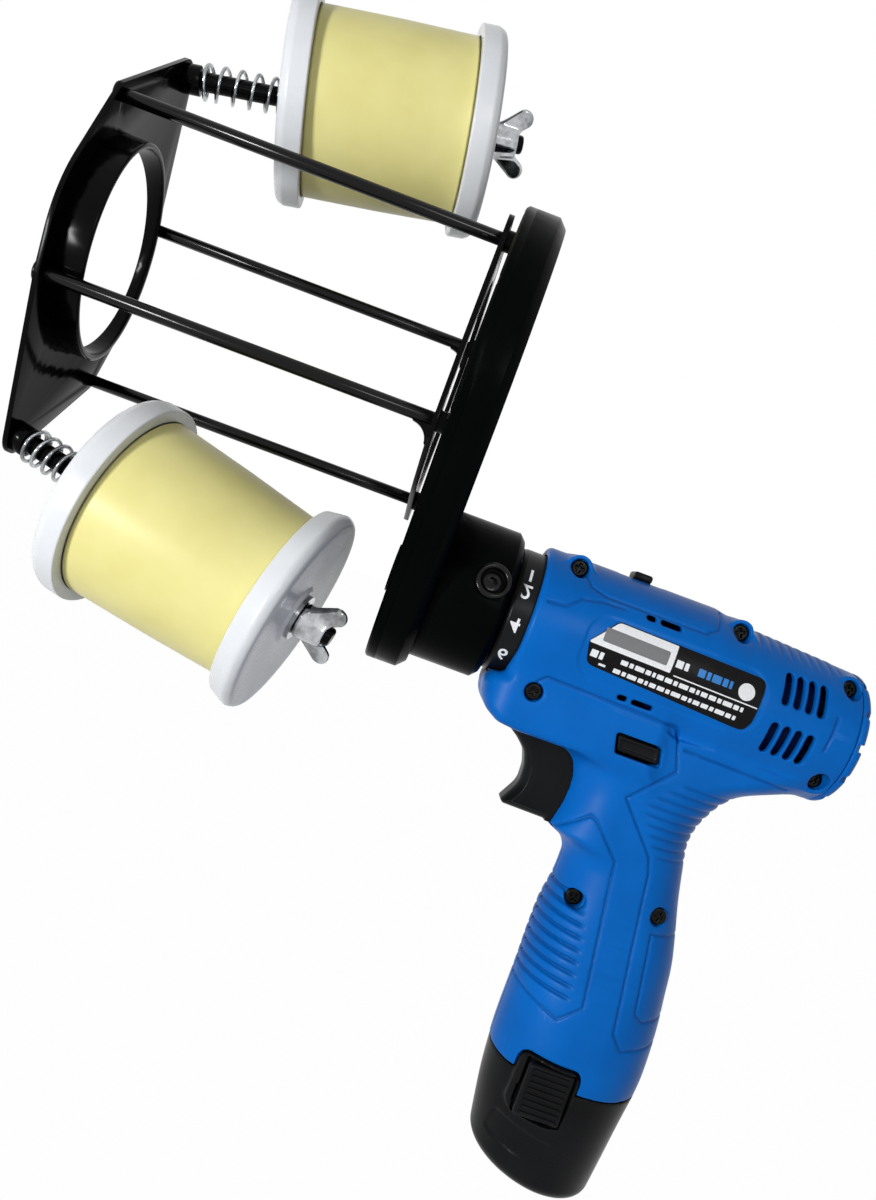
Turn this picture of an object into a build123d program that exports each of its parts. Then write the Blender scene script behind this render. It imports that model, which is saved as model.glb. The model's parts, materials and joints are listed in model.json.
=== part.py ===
from build123d import *
from math import cos, sin, radians, pi, sqrt
import os

# Cordless wrapping head: a two-spool cage turned round a pipe by a pistol-grip drill.
# Millimetres, +Z up. The cage turns about X through the origin, the drill lies at +X.
# The origin is on the cage axis, on the cage side of the near plate.

# ---- clearances -------------------------------------------------------------
slide_gap = 0.3          # between pieces that move past each other
running_gap = 0.06       # radial, shaft in its bush
seat_gap = 0.1           # a loose piece in its pocket

# ---- cage -------------------------------------------------------------------
cage_length = 120.0      # between the two plates
plate_gauge = 1.6
bore_radius = 33.5       # free passage for the work
collar_wall = 2.0
collar_lip = 10.0        # how far the collar stands into the cage
hub_radius = 41.0        # round middle of both plates
rod_radius = 2.1
stud_radius = 1.5        # reduced rod end through the near plate
stud_depth = 2.4         # how far the stud enters the gear carrier
rod_places = [(-24.0, 40.0), (34.0, 19.3), (-34.0, -19.3), (24.0, -40.0)]
rod_edge = 1.6           # plate left outside each rod
near_rod_edge = 5.4      # the same on the near plate
rod_screw_radius = 3.4
rod_screw_head = 0.9
rod_screw_shank = 1.2
rod_screw_reach = 7.0
spacer_radius = 3.3
plate_gap = 2.4          # between the near plate and the gear head
gusset_reach = 6.0       # curved gussets under two of the rods
gusset_width = 1.8

# ---- spool spindles ---------------------------------------------------------
spindle_radius = 3.1
spindle_beyond_nut = 2.2
spindle_pitch_radius = 68.0   # of the spindle foot from the cage axis
spindle_foot_angle = 77.0     # degrees from +Y
spindle_splay = 13.5          # degrees from the cage axis
spindle_lean = 64.5           # direction of the splay, degrees from +Y
spindle_tip_radius = 6.0      # rounded end of the plate about the foot
spindle_boss_radius = 4.8
spindle_boss_length = 5.0

spring_radius = 5.4           # of the wire's centre line
spring_wire = 0.65
spring_turns = 6
washer_radius = 7.5
washer_gauge = 1.2

# ---- spools, measured along the spindle -------------------------------------
spool_start = 33.5
flange_radius = 34.0
flange_depth = 9.0
flange_web = 3.2
tape_length = 53.0
tape_radius = 30.0
core_radius = 19.0
core_wall = 1.8
hub_spigot_wall = 3.0
hub_bore_wall = 3.0
wing_hub_radius = 5.7
wing_hub_length = 9.0
wing_span = 23.0
wing_gauge = 2.2
wing_ear_radius = 3.2
wing_ear_rise = 4.0           # of the ears above the hub

# ---- gear head --------------------------------------------------------------
gear_module = 1.5
ring_teeth = 64
pinion_teeth = 22
gear_width = 5.0
gear_room = 0.6               # free space round the gears
head_wall = 5.0               # outside the carrier's step
lobe_wall = 12.3              # outside the pinion's tips
head_depth = 13.5
cover_depth = 3.4
cover_lip = 1.6
carrier_clearance = 1.1       # the carrier stands proud of the tooth tips
carrier_step = 1.9
journal_radius = 40.0
bush_wall = 2.6
head_screw_radius = 1.5
head_screw_head = 2.8
head_screw_sink = 1.4
head_screw_reach = 6.0          # into the case
head_screw_inset = 3.1          # of the ring of screws inside the rim
lobe_screw_inset = 4.2
head_screw_angles = (20, 55, 90, 125, 160, 200, 340)
lobe_screw_angles = (225, 270, 315)
head_edge = 2.8
sleeve_edge = 2.0
nose_boss_wall = 1.4
nose_boss_rise = 1.2
sleeve_radius = 25.1
sleeve_length = 23.0
sleeve_seat_length = 12.5
sleeve_relief = 20.0
clamp_angle = 15.0            # above the horizontal
clamp_boss_radius = 5.2
clamp_boss_height = 1.4
clamp_screw_radius = 3.0
clamp_from_rear = 6.9

# ---- drill ------------------------------------------------------------------
spindle_shaft_radius = 5.0
spindle_nose_radius = 4.0
nose_radius = 16.0
collar_radius = 21.0
collar_length = 9.8
collar_start_gap = 0.8
barrel_front_radius = 24.2
barrel_rear_radius = 22.4
barrel_drop = 2.3             # rear of the barrel below the spindle axis
barrel_step_start = 56.0      # from the front of the barrel
barrel_step_length = 11.0
barrel_length = 106.5
rear_cap_depth = 7.2
cap_steps = [(0.0, 0.0), (2.2, 0.4), (5.0, 4.6), (7.2, 8.6)]     # depth and shrink of the dome
cap_notches = 8
cap_notch_width = 3.2
cap_notch_depth = 2.6
shell_wall = 2.4
gearbox_radius = 20.5
gearbox_length = 38.0
motor_radius = 18.0
motor_length = 57.0
nose_block_half = 19.0
nose_block_bottom = 36.9      # below the spindle axis
nose_block_length = 50.2      # behind the front of the barrel
nose_rounding = 6.0
lip_gap = 1.0                 # lip under the collar
lip_reach = 9.8
chin_points = [(1.6, 5.6), (5.2, 11.0), (11.0, 14.3)]     # along and down from the lip
chin_flat = 7.2
trigger_half = 7.0
trigger_length = 30.0
trigger_height = 24.0
trigger_set_back = 6.5         # of the trigger's tip behind the front of the barrel
trigger_travel = 6.0
trigger_stem_radius = 2.4
finger_points = [(6.3, 5.6), (8.6, 13.0), (7.6, 18.2)]    # hollow for the finger, along and down
switch_length = 20.0
switch_width = 15.6
switch_height = 22.0
pocket_length = 26.0           # room for the leads behind the switch
selector_length = 12.6
selector_height = 4.6
window_depth = 2.2            # recess round the bar's ends
window_margin = 0.9
window_lean = 1.7
opening_floor = 10.0          # slots start this far from the middle plane
outside_half = 40.0           # beyond the widest part of the drill
speed_length = 6.2
speed_width = 8.0
speed_foot_width = 6.0
speed_travel = 4.0
speed_height = 2.2
screw_head_radius = 2.7
screw_head_height = 1.8
cross_width = 0.7
cross_depth = 2.0
screw_well_radius = 3.1
screw_boss_radius = 4.4
screw_boss_rise = 2.2         # of a boss above its screw's seat
vent_width = 1.9
vent_height = 9.8
vent_pitch = 4.0
vent_from_rear = 26.4
vent_offset = 8.1             # of each row above or below the barrel's middle
label_length = 56.0
label_height = 18.6
label_gauge = 0.35
latch_width = 15.4
latch_height = 17.4
latch_press = 2.0
latch_sink = 0.4
latch_ribs = 7
latch_rib_pitch = 2.1
pad_margin = 2.4
contact_spread = 7.0
contact_width = 9.0
contact_height = 5.0
contact_gauge = 0.8
terminal_length = 12.0
terminal_height = 8.0
terminal_rise = 1.4             # of the terminal block above the stem
stem_half = 18.0
stem_flat = 7.0
stem_height = 40.0
cell_radius = 8.5
cell_length = 65.0
cell_floor = 3.4               # under the cells
cell_shift = 0.4

# ---- places worked out from the above ---------------------------------------
centre_distance = gear_module * (ring_teeth + pinion_teeth) / 2
ring_tip = gear_module * (ring_teeth / 2 + 1)
pinion_tip = gear_module * (pinion_teeth / 2 + 1)
carrier_radius = ring_tip + carrier_clearance
head_radius = carrier_radius + carrier_step + head_wall
lobe_radius = pinion_tip + lobe_wall
head_front = plate_gauge + plate_gap
head_rear = head_front + head_depth
parting = head_front + cover_depth
spindle_z = -centre_distance
sleeve_rear = head_rear + sleeve_length
collar_front = sleeve_rear + collar_start_gap
barrel_front = collar_front + collar_length + slide_gap
barrel_rear = barrel_front + barrel_length
gearbox_rear = barrel_front + gearbox_length
trigger_front = barrel_front + trigger_set_back
trigger_back = trigger_front + trigger_length
trigger_mid_z = spindle_z - nose_block_bottom - trigger_height / 2
spool_end = spool_start + 2 * flange_depth + tape_length
spring_start = spindle_boss_length + spring_wire + seat_gap
spindle_length = spool_end + washer_gauge + seat_gap + wing_hub_length + spindle_beyond_nut

AXIAL = (Align.CENTER, Align.CENTER, Align.MIN)


def rod_x(radius, x_start, x_end, y=0.0, z=0.0):
    # a solid cylinder along X
    blank = Cylinder(radius, x_end - x_start, align=AXIAL)
    return Pos(x_start, y, z) * Rot(0, 90, 0) * blank


def tube_x(outer, inner, x_start, x_end, y=0.0, z=0.0):
    return rod_x(outer, x_start, x_end, y, z) - rod_x(inner, x_start - 1, x_end + 1, y, z)


def slab_x(sketch, x_start, x_end):
    # a YZ outline pulled along X
    return extrude(Plane.YZ.offset(x_start) * sketch, amount=x_end - x_start)


def slab_y(sketch, half_width):
    # an XZ outline pulled both ways from the middle plane
    return extrude(Plane.XZ * sketch, amount=half_width, both=True)


def disc(radius, y=0.0, z=0.0):
    return Pos(y, z) * Circle(radius)


def hull_of(discs):
    # the tight band round several discs, as one face
    edges = []
    for piece in discs:
        edges += piece.edges()
    return make_hull(edges)


def save(name, *solids):
    pieces = []
    for item in solids:
        pieces += item.solids()
    export_step(Compound(children=pieces), f"parts/{name}.step")


def opposite(point):
    return (-point[0], -point[1])


# ---- cage plates, collar and rods -------------------------------------------
def spindle_foot():
    angle = radians(spindle_foot_angle)
    return (spindle_pitch_radius * cos(angle), spindle_pitch_radius * sin(angle))


def rod_discs(places, extra):
    return [disc(rod_radius + extra, y, z) for y, z in places]


def far_plate():
    foot = spindle_foot()
    tips = [disc(spindle_tip_radius, *foot), disc(spindle_tip_radius, *opposite(foot))]
    outline = hull_of([disc(hub_radius)] + tips + rod_discs(rod_places, rod_edge))
    plate = slab_x(outline - disc(bore_radius + collar_wall), -cage_length - plate_gauge, -cage_length)
    for y, z in rod_places:
        plate -= rod_x(rod_screw_shank, -cage_length - plate_gauge - 1, -cage_length + 1, y, z)
    return plate


def ring_collar():
    outer = bore_radius + collar_wall
    collar = tube_x(outer, bore_radius, -cage_length - plate_gauge, -cage_length + collar_lip)
    rims = collar.edges().filter_by(GeomType.CIRCLE).group_by(Axis.X)[-1]
    return chamfer(rims, collar_wall * 0.25)


def near_plate():
    outline = hull_of([disc(hub_radius)] + rod_discs(rod_places, near_rod_edge))
    plate = slab_x(outline - disc(bore_radius), 0, plate_gauge)
    for y, z in rod_places:
        plate -= rod_x(stud_radius, -1, plate_gauge + 1, y, z)
    for y, z in rod_places[1:3]:
        plate += gusset(y, z)
    return plate


def gusset(y, z):
    # a curved web in the corner between a rod and the near plate
    corner = Polygon((0, 0), (-gusset_reach, 0), (0, -gusset_reach), align=None)
    bite = Pos(-gusset_reach, -gusset_reach) * Circle(gusset_reach * 0.93)
    web = extrude(Plane.XZ * (corner - bite), amount=gusset_width / 2, both=True)
    web = max(web.solids(), key=lambda piece: piece.volume)
    return Pos(0, y, z - rod_radius) * web


def guide_rod(y, z):
    rod = rod_x(rod_radius, -cage_length, 0, y, z)
    rod += rod_x(stud_radius, 0, head_front + stud_depth, y, z)
    return rod - rod_x(rod_screw_shank, -cage_length - 1, -cage_length + rod_screw_reach, y, z)


def rod_screw(y, z):
    outside = -cage_length - plate_gauge
    head = rod_x(rod_screw_radius, outside - rod_screw_head, outside, y, z)
    rim = head.edges().filter_by(GeomType.CIRCLE).group_by(Axis.X)[0]
    head = chamfer(rim, rod_screw_head * 0.4)
    return head + rod_x(rod_screw_shank, outside, -cage_length + rod_screw_reach, y, z)


def rod_spacer(y, z):
    return tube_x(spacer_radius, stud_radius, plate_gauge, head_front, y, z)


# ---- one spool on its spindle, built along +Z and then swung into place -----
def spindle_location(turned):
    y, z = spindle_foot()
    lean = radians(spindle_lean)
    splay = radians(spindle_splay)
    along = Vector(cos(splay), sin(splay) * cos(lean), sin(splay) * sin(lean))
    foot = Vector(-cage_length, y, z)
    across = Vector(0, -sin(lean), cos(lean))
    if turned:
        along = Vector(along.X, -along.Y, -along.Z)
        foot = Vector(foot.X, -foot.Y, -foot.Z)
        across = across * -1
    return Plane(origin=foot, x_dir=across, z_dir=along).location


def ring_z(outer, inner, start, end):
    blank = Cylinder(outer, end - start, align=AXIAL)
    if inner:
        blank -= Cylinder(inner, end - start, align=AXIAL)
    return Pos(0, 0, start) * blank


def spool_spindle(place):
    below = 2 * spindle_radius + plate_gauge      # rooted in the plate all round
    rod = ring_z(spindle_radius, 0, -below, spindle_length)
    boss = ring_z(spindle_boss_radius, 0, -below, spindle_boss_length)
    crown = rod.edges().filter_by(GeomType.CIRCLE).group_by(Axis.Z)[-1]
    rod = chamfer(crown, spindle_radius * 0.2)
    spindle = place * (rod + boss)
    behind = Pos(-cage_length - 50, 0, 0) * Box(100, 400, 400)
    return spindle - behind


def tension_spring(place):
    height = spool_start - washer_gauge - spring_wire - spring_start
    pitch = height / spring_turns
    path = Helix(pitch, height, spring_radius)
    start = Plane(origin=path @ 0, z_dir=path % 0)
    wire = start * RegularPolygon(spring_wire, 6)
    coil = sweep(wire, path=path, is_frenet=True)
    return place * (Pos(0, 0, spring_start) * coil)


def spool_flange(start, inward):
    # a cap: a web with a rolled rim, a hub on the spindle and a spigot in the core
    hub_bore = spindle_radius + running_gap
    spigot = core_radius - core_wall
    cap = ring_z(flange_radius, hub_bore, 0, flange_depth)
    outer_rim = cap.edges().filter_by(GeomType.CIRCLE).group_by(Axis.Z)[0].sort_by(SortBy.RADIUS)[-1]
    cap = chamfer(outer_rim, flange_depth * 0.16, flange_depth * 0.4)
    cap -= ring_z(flange_radius - flange_web, core_radius + hub_spigot_wall, flange_web, flange_depth + 1)
    spigot_ring = ring_z(spigot, spigot - hub_spigot_wall, flange_depth, flange_depth + hub_spigot_wall)
    cap += spigot_ring
    cap -= ring_z(spigot - hub_spigot_wall, hub_bore + hub_bore_wall, flange_web, flange_depth + 1)
    if not inward:
        cap = Rot(180, 0, 0) * cap
    return Pos(0, 0, start) * cap


def wing_nut(place):
    # a tapered hub with two rounded ears that stand up and out
    hub = Cone(wing_hub_radius, wing_hub_radius * 0.8, wing_hub_length, align=AXIAL)
    ear_height = wing_hub_length + wing_ear_rise - wing_ear_radius
    ear = Pos(wing_span / 2 - wing_ear_radius, ear_height) * Circle(wing_ear_radius)
    root = Pos(wing_hub_radius * 0.75, wing_hub_length * 0.4) * Circle(wing_hub_length * 0.3)
    outline = make_hull(ear.edges() + root.edges())
    wing = extrude(Plane.XZ * outline, amount=wing_gauge / 2, both=True)
    nut = hub + wing + Rot(0, 0, 180) * wing
    nut -= Cylinder(spindle_radius + running_gap, wing_hub_length * 3)
    return place * (Pos(0, 0, spool_end + washer_gauge + seat_gap) * nut)


def save_spools():
    tape_start = spool_start + flange_depth
    tape_end = tape_start + tape_length
    washers = []
    for number, turned in ((1, False), (2, True)):
        place = spindle_location(turned)
        save(f"spool_spindle_{number}", spool_spindle(place))
        save(f"tension_spring_{number}", tension_spring(place))
        save(f"spool_{number}_inner_flange", place * spool_flange(spool_start, True))
        save(f"spool_{number}_outer_flange", place * spool_flange(spool_end, False))
        core = ring_z(core_radius, core_radius - core_wall, tape_start, tape_end)
        save(f"spool_{number}_core", place * core)
        save(f"tape_roll_{number}", place * ring_z(tape_radius, core_radius, tape_start, tape_end))
        inner = ring_z(washer_radius, spindle_radius, spool_start - washer_gauge, spool_start - seat_gap)
        outer = ring_z(washer_radius, spindle_radius, spool_end + seat_gap, spool_end + washer_gauge)
        washers += [place * inner, place * outer]
        save(f"wing_nut_{number}", wing_nut(place))
    save("spool_washers", *washers)


# ---- gears ------------------------------------------------------------------
def gear_face(teeth):
    # straight-flanked teeth: tip and root half-widths at module-standard heights
    pitch_radius = gear_module * teeth / 2
    tip_radius = pitch_radius + gear_module
    root_radius = pitch_radius - 1.25 * gear_module
    root_width = 0.30
    tip_width = 0.07
    points = []
    for tooth in range(teeth):
        centre = 2 * pi * tooth / teeth
        for radius, offset in ((root_radius, -root_width), (tip_radius, -tip_width),
                               (tip_radius, tip_width), (root_radius, root_width)):
            angle = centre + offset * 2 * pi / teeth
            points.append((radius * cos(angle), radius * sin(angle)))
    return Polygon(*points, align=None)


gear_front = parting + gear_room
gear_rear = gear_front + gear_width


def ring_gear():
    teeth = slab_x(gear_face(ring_teeth), gear_front, gear_rear)
    carrier = rod_x(carrier_radius, head_front, head_front + cover_lip)
    flange_end = head_front + cover_lip + carrier_step
    step_start = head_front + cover_lip + slide_gap
    carrier += rod_x(carrier_radius + carrier_step, step_start, flange_end - slide_gap)
    middle = rod_x(gear_module * (ring_teeth / 2 - 1.25), head_front, gear_rear)
    journal = rod_x(journal_radius, gear_rear - 1, head_rear - slide_gap)
    gear = teeth + carrier + middle + journal
    gear -= rod_x(bore_radius, head_front - 1, head_rear + 1)
    for y, z in rod_places:
        gear -= rod_x(stud_radius, head_front - 1, head_front + stud_depth, y, z)
    return gear


def head_outline(grow=0.0):
    return hull_of([disc(head_radius + grow), disc(lobe_radius + grow, 0, spindle_z)])


def head_screw_places():
    places = []
    ring = head_radius - head_screw_inset
    for angle in head_screw_angles:
        places.append((ring * cos(radians(angle)), ring * sin(radians(angle))))
    low = lobe_radius - lobe_screw_inset
    for angle in lobe_screw_angles:
        places.append((low * cos(radians(angle)), spindle_z + low * sin(radians(angle))))
    return places


def head_case():
    case = slab_x(head_outline(), parting, head_rear)
    rim = case.edges().group_by(Axis.X)[-1]
    case = chamfer(rim, head_edge)
    pocket_end = gear_rear + gear_room
    case -= rod_x(ring_tip + gear_room, parting - 1, pocket_end)
    case -= rod_x(pinion_tip + gear_room, parting - 1, pocket_end, 0, spindle_z)
    case -= rod_x(journal_radius + bush_wall, pocket_end - 1, head_rear + 1)
    case -= rod_x(spindle_shaft_radius + bush_wall, pocket_end - 1, head_rear + 1, 0, spindle_z)
    for y, z in head_screw_places():
        case -= rod_x(head_screw_radius, parting - 1, parting + head_screw_reach, y, z)
    return case


def head_cover():
    cover = slab_x(head_outline(), head_front, parting)
    rim = cover.faces().sort_by(Axis.X)[0].outer_wire().edges()
    cover = chamfer(rim, 0.8)
    cover -= rod_x(carrier_radius + slide_gap, head_front - 1, head_front + cover_lip + 1)
    cover -= rod_x(carrier_radius + carrier_step + slide_gap, head_front + cover_lip, parting + 1)
    boss_radius = spindle_nose_radius + bush_wall + nose_boss_wall
    boss = rod_x(boss_radius, head_front - nose_boss_rise, head_front + 1, 0, spindle_z)
    cover += boss
    cover -= rod_x(spindle_nose_radius + bush_wall, head_front + 0.6, parting + 1, 0, spindle_z)
    for y, z in head_screw_places():
        cover -= rod_x(head_screw_radius, head_front - 1, parting + 1, y, z)
        cover -= rod_x(head_screw_head, head_front - 1, head_front + head_screw_sink, y, z)
    return cover


def head_screw(y, z):
    seat = head_front + head_screw_sink
    screw = rod_x(head_screw_head, head_front + seat_gap, seat, y, z)
    screw += rod_x(head_screw_radius, seat, parting + head_screw_reach, y, z)
    return screw - slab_x(Pos(y, z) * RegularPolygon(head_screw_head / 2, 6), head_front, seat - 0.5)


def clamp_direction():
    angle = radians(clamp_angle)
    return Vector(0, -cos(angle), sin(angle))


def clamp_plane(distance):
    outward = clamp_direction()
    origin = Vector(sleeve_rear - clamp_from_rear, 0, spindle_z) + outward * distance
    return Plane(origin=origin, x_dir=(1, 0, 0), z_dir=outward)


def radial_rod(radius, start, end):
    return clamp_plane(start).location * Cylinder(radius, end - start, align=AXIAL)


def clamp_sleeve():
    sleeve = rod_x(sleeve_radius, head_rear, sleeve_rear, 0, spindle_z)
    rear_rim = sleeve.edges().filter_by(GeomType.CIRCLE).group_by(Axis.X)[-1]
    sleeve = chamfer(rear_rim, sleeve_edge)
    boss = radial_rod(clamp_boss_radius, sleeve_radius - 4, sleeve_radius + clamp_boss_height)
    sleeve += boss
    sleeve -= rod_x(nose_radius, head_rear + 1, sleeve_rear + 1, 0, spindle_z)
    sleeve -= rod_x(sleeve_relief, head_rear - 1, sleeve_rear - sleeve_seat_length, 0, spindle_z)
    sleeve -= radial_rod(clamp_screw_radius, nose_radius - 2, sleeve_radius + clamp_boss_height + 1)
    return sleeve


def clamp_screw():
    screw = radial_rod(clamp_screw_radius, nose_radius, sleeve_radius + clamp_boss_height - 1.2)
    socket = clamp_plane(sleeve_radius + clamp_boss_height - 4.2) * RegularPolygon(1.7, 6)
    return screw - extrude(socket, amount=6)


def save_head():
    save("ring_gear", ring_gear())
    save("head_case", head_case())
    save("head_cover", head_cover())
    save("head_cover_screws", *[head_screw(y, z) for y, z in head_screw_places()])
    pocket_end = gear_rear + gear_room
    rotor_bush = tube_x(journal_radius + bush_wall, journal_radius + running_gap, pocket_end, head_rear)
    save("rotor_bush", rotor_bush)
    shaft = spindle_shaft_radius
    nose = spindle_nose_radius
    rear_bush = tube_x(shaft + bush_wall, shaft + running_gap, pocket_end, head_rear, 0, spindle_z)
    front_bush = tube_x(nose + bush_wall, nose + running_gap, head_front + 0.6, parting, 0, spindle_z)
    save("pinion_bushes", front_bush, rear_bush)
    turned = slab_x(Rot(0, 0, 90 + 180 / pinion_teeth) * gear_face(pinion_teeth), gear_front, gear_rear)
    pinion = Pos(0, 0, spindle_z) * turned
    save("drive_pinion", pinion - rod_x(shaft, gear_front - 1, gear_rear + 1, 0, spindle_z))
    spindle = rod_x(nose, head_front + 1.0, gear_front, 0, spindle_z)
    spindle += rod_x(shaft, gear_front, gearbox_rear - 12, 0, spindle_z)
    save("output_spindle", spindle)
    save("clamp_sleeve", clamp_sleeve())
    save("clamp_screw", clamp_screw())


# ---- drill body -------------------------------------------------------------
def barrel(grow=0.0):
    step_end = barrel_step_start + barrel_step_length
    low = spindle_z - barrel_drop
    stations = [(0, barrel_front_radius, spindle_z), (barrel_step_start, barrel_front_radius, spindle_z),
                (step_end, barrel_front_radius, low), (barrel_length, barrel_rear_radius, low - 0.3)]
    rings = [Plane.YZ.offset(barrel_front + x) * disc(radius + grow, 0, z) for x, radius, z in stations]
    return loft(rings, ruled=True)


# stations of the grip: height, front, rear and half width, with rounded ends
grip_stations = [
    (-84.0, 80.0, 154.0, 17.5),
    (-96.0, 80.5, 138.5, 18.0),
    (-106.0, 81.5, 129.0, 18.0),
    (-116.0, 82.5, 126.0, 18.0),
    (-129.0, 84.9, 128.8, 18.2),
    (-146.0, 87.6, 134.0, 18.8),
    (-165.0, 87.2, 137.6, 20.4),
    (-184.0, 87.6, 139.8, 21.9),
    (-206.0, 88.6, 141.4, 22.6),
]
grip_bands = 12
base_front = -201.4
base_rear = -205.4
base_left = 80.0
base_right = 150.0
battery_stations = [
    (-198.0, 88.5, 141.2, 22.5),
    (-212.0, 89.2, 141.0, 22.5),
    (-226.0, 91.1, 139.4, 22.0),
    (-238.0, 92.8, 137.6, 21.2),
    (-252.0, 94.8, 135.5, 20.2),
]
battery_floor_front = -231.8
battery_floor_rear = -240.2
floor_edge = 4.0


def station_face(station, shrink=0.0):
    z, front, rear, half = station
    span = rear - front - 2 * shrink
    outline = SlotOverall(span, 2 * (half - shrink))
    return Pos((front + rear) / 2, 0, z) * outline


def stacked(stations, shrink=0.0):
    return loft([station_face(station, shrink) for station in stations])


def below_line(front_z, rear_z, depth):
    # a slab whose top runs from front_z to rear_z across the grip
    points = [(base_left, front_z), (base_right, rear_z), (base_right, rear_z - depth)]
    points.append((base_left, front_z - depth))
    return slab_y(Polygon(*points, align=None), outside_half)


def nose_block():
    # the lip under the collar and the cheeks above the trigger
    top = spindle_z - 4
    bottom = spindle_z - nose_block_bottom
    lip = spindle_z - collar_radius - lip_gap
    front = barrel_front - lip_reach
    rear = barrel_front + nose_block_length
    chin = [(front + x, lip - drop) for x, drop in chin_points]
    outline = Polyline((barrel_front, top), (barrel_front, lip), (front, lip), *chin,
                       (barrel_front + chin_flat, bottom), (rear, bottom), (rear, top), (barrel_front, top))
    block = slab_y(make_face(outline), nose_block_half)
    low_edges = block.edges().filter_by(Axis.X).group_by(Axis.Z)[0]
    return fillet(low_edges, nose_rounding)


def trigger_outline(grow=0.0):
    top = spindle_z - nose_block_bottom - slide_gap + grow
    low = top - trigger_height - 2 * grow
    finger = [(trigger_front + x, top - drop) for x, drop in finger_points]
    line = Polyline((trigger_back, top), (trigger_front, top), *finger, (trigger_front + 5.8, low + 1.4),
                    (trigger_front + 8.4, low), (trigger_back, low), (trigger_back, top))
    return make_face(line)




def trigger():
    body = slab_y(trigger_outline(), trigger_half)
    sides = body.faces().sort_by(Axis.Y)
    rims = [edge for face in (sides[0], sides[-1]) for edge in face.edges()]
    body = chamfer([edge for edge in rims if edge.center().X < trigger_back - trigger_travel], 1.0)
    stem_end = trigger_back + trigger_travel + 4
    return body + rod_x(trigger_stem_radius, trigger_back - 1, stem_end, 0, trigger_mid_z)


def housing_solid():
    return barrel() + nose_block() + trimmed_grip()


def eased(stations, z):
    # front, rear and half width at a height, by a smooth curve through the stations
    index = 0
    while index < len(stations) - 2 and z < stations[index + 1][0]:
        index += 1
    before = stations[max(index - 1, 0)]
    low, high = stations[index], stations[index + 1]
    after = stations[min(index + 2, len(stations) - 1)]
    step = high[0] - low[0]
    t = (z - low[0]) / step
    values = []
    for axis in (1, 2, 3):
        start_slope = (high[axis] - before[axis]) / (high[0] - before[0]) * step
        end_slope = (after[axis] - low[axis]) / (after[0] - low[0]) * step
        rise = high[axis] - low[axis]
        curve = start_slope * t + (3 * rise - 2 * start_slope - end_slope) * t ** 2
        curve += (start_slope + end_slope - 2 * rise) * t ** 3
        values.append(low[axis] + curve)
    return tuple(values)


def even_stations(stations, bands):
    top, bottom = stations[0][0], stations[-1][0]
    heights = [top + (bottom - top) * index / bands for index in range(bands + 1)]
    return [(z,) + eased(stations, z) for z in heights]


def trimmed_grip(shrink=0.0):
    return stacked(even_stations(grip_stations, grip_bands), shrink) - below_line(base_front, base_rear, 60)


selector_x = sleeve_rear + 54.9
selector_z = spindle_z - 27.0
latch_x = 105.2
latch_top = -195.0
arch_width = latch_width + 5.0
arch_height = 10.0
arch_rise = 2.4
arch_corner = 3.4
arch_floor = 15.0
ear_sink = 0.4                 # of the battery's ears under the grip's skin
screw_places = [(59.3, -44.1), (58.2, -85.7), (115.3, -45.6), (154.4, -50.6), (153.8, -81.6), (92.6, -142.4),
                (121.4, -139.8)]
screw_depths = [10.6, 17.5, 10.6, 11.5, 12.5, 15.5, 15.5]
screw_has_boss = [True, False, True, True, True, False, False]
speed_x = 81.3
motor_front = gearbox_rear + seat_gap
motor_z = spindle_z - barrel_drop / 2
stem_x = 114.0
stem_top = base_front - 2 + stem_height


def slot_row(z, lean):
    slots = []
    for index in range(4):
        x = barrel_rear - vent_from_rear + index * vent_pitch
        slots.append(Pos(x, z) * Rot(0, 0, lean) * SlotOverall(vent_height, vent_width, rotation=90))
    return slots


def side_cuts():
    # openings through the side walls, on both cheeks
    middle = spindle_z - barrel_drop / 2
    sketches = slot_row(middle + vent_offset, 10) + slot_row(middle - vent_offset, -4)
    for z in (middle + 14.4, middle - 12.1):
        sketches.append(Pos(84.4, z) * SlotOverall(3.4, 1.2))
        sketches.append(Pos(90.6, z) * SlotOverall(7.2, 1.2))
    return sketches


def cheek(sketch, inner, outer):
    # a sketch on the side view, pulled outward on both cheeks between two depths
    blank = extrude(Plane.XZ.offset(inner) * sketch, amount=outer - inner)
    return blank + mirror(blank, about=Plane.XZ)


switch_front = trigger_back + trigger_travel + slide_gap


def drill_interior():
    # the hollow for gearbox and motor, the battery well and the switch pocket
    room_radius = gearbox_radius + seat_gap
    gearbox_room = rod_x(room_radius, barrel_front + 2.0, gearbox_rear + seat_gap, 0, spindle_z)
    front_hole = rod_x(nose_radius + slide_gap, barrel_front - 1, barrel_front + 3, 0, spindle_z)
    motor_room = rod_x(motor_radius + 1.6, gearbox_rear, barrel_rear + 1, 0, motor_z)
    well = Pos(stem_x, 0, stem_top + 1.0 - 80) * extrude(SlotOverall(stem_flat + 2 * stem_half + 0.8,
                                                                    2 * stem_half + 0.8), amount=80)
    pocket = Box(pocket_length, switch_width + 1.6, trigger_mid_z - stem_top + trigger_length)
    pocket = Pos(stem_x - 5.0, 0, (trigger_mid_z + stem_top) / 2) * pocket
    trigger_room = slab_y(trigger_outline(slide_gap), trigger_half + slide_gap)
    back_room = Box(2 * trigger_travel + 2, 2 * (trigger_half + slide_gap), trigger_height + 1)
    back_room = Pos(trigger_back + trigger_travel / 2, 0, trigger_mid_z) * back_room
    switch_room = Box(switch_length + 1 + seat_gap,
                      switch_width + 2 * seat_gap,
                      switch_height + 2 * seat_gap,
                      align=(Align.MIN, Align.CENTER, Align.CENTER))
    switch_room = Pos(switch_front - 1, 0, trigger_mid_z) * switch_room
    return [gearbox_room, front_hole, motor_room, well, pocket, trigger_room, back_room, switch_room]


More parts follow.
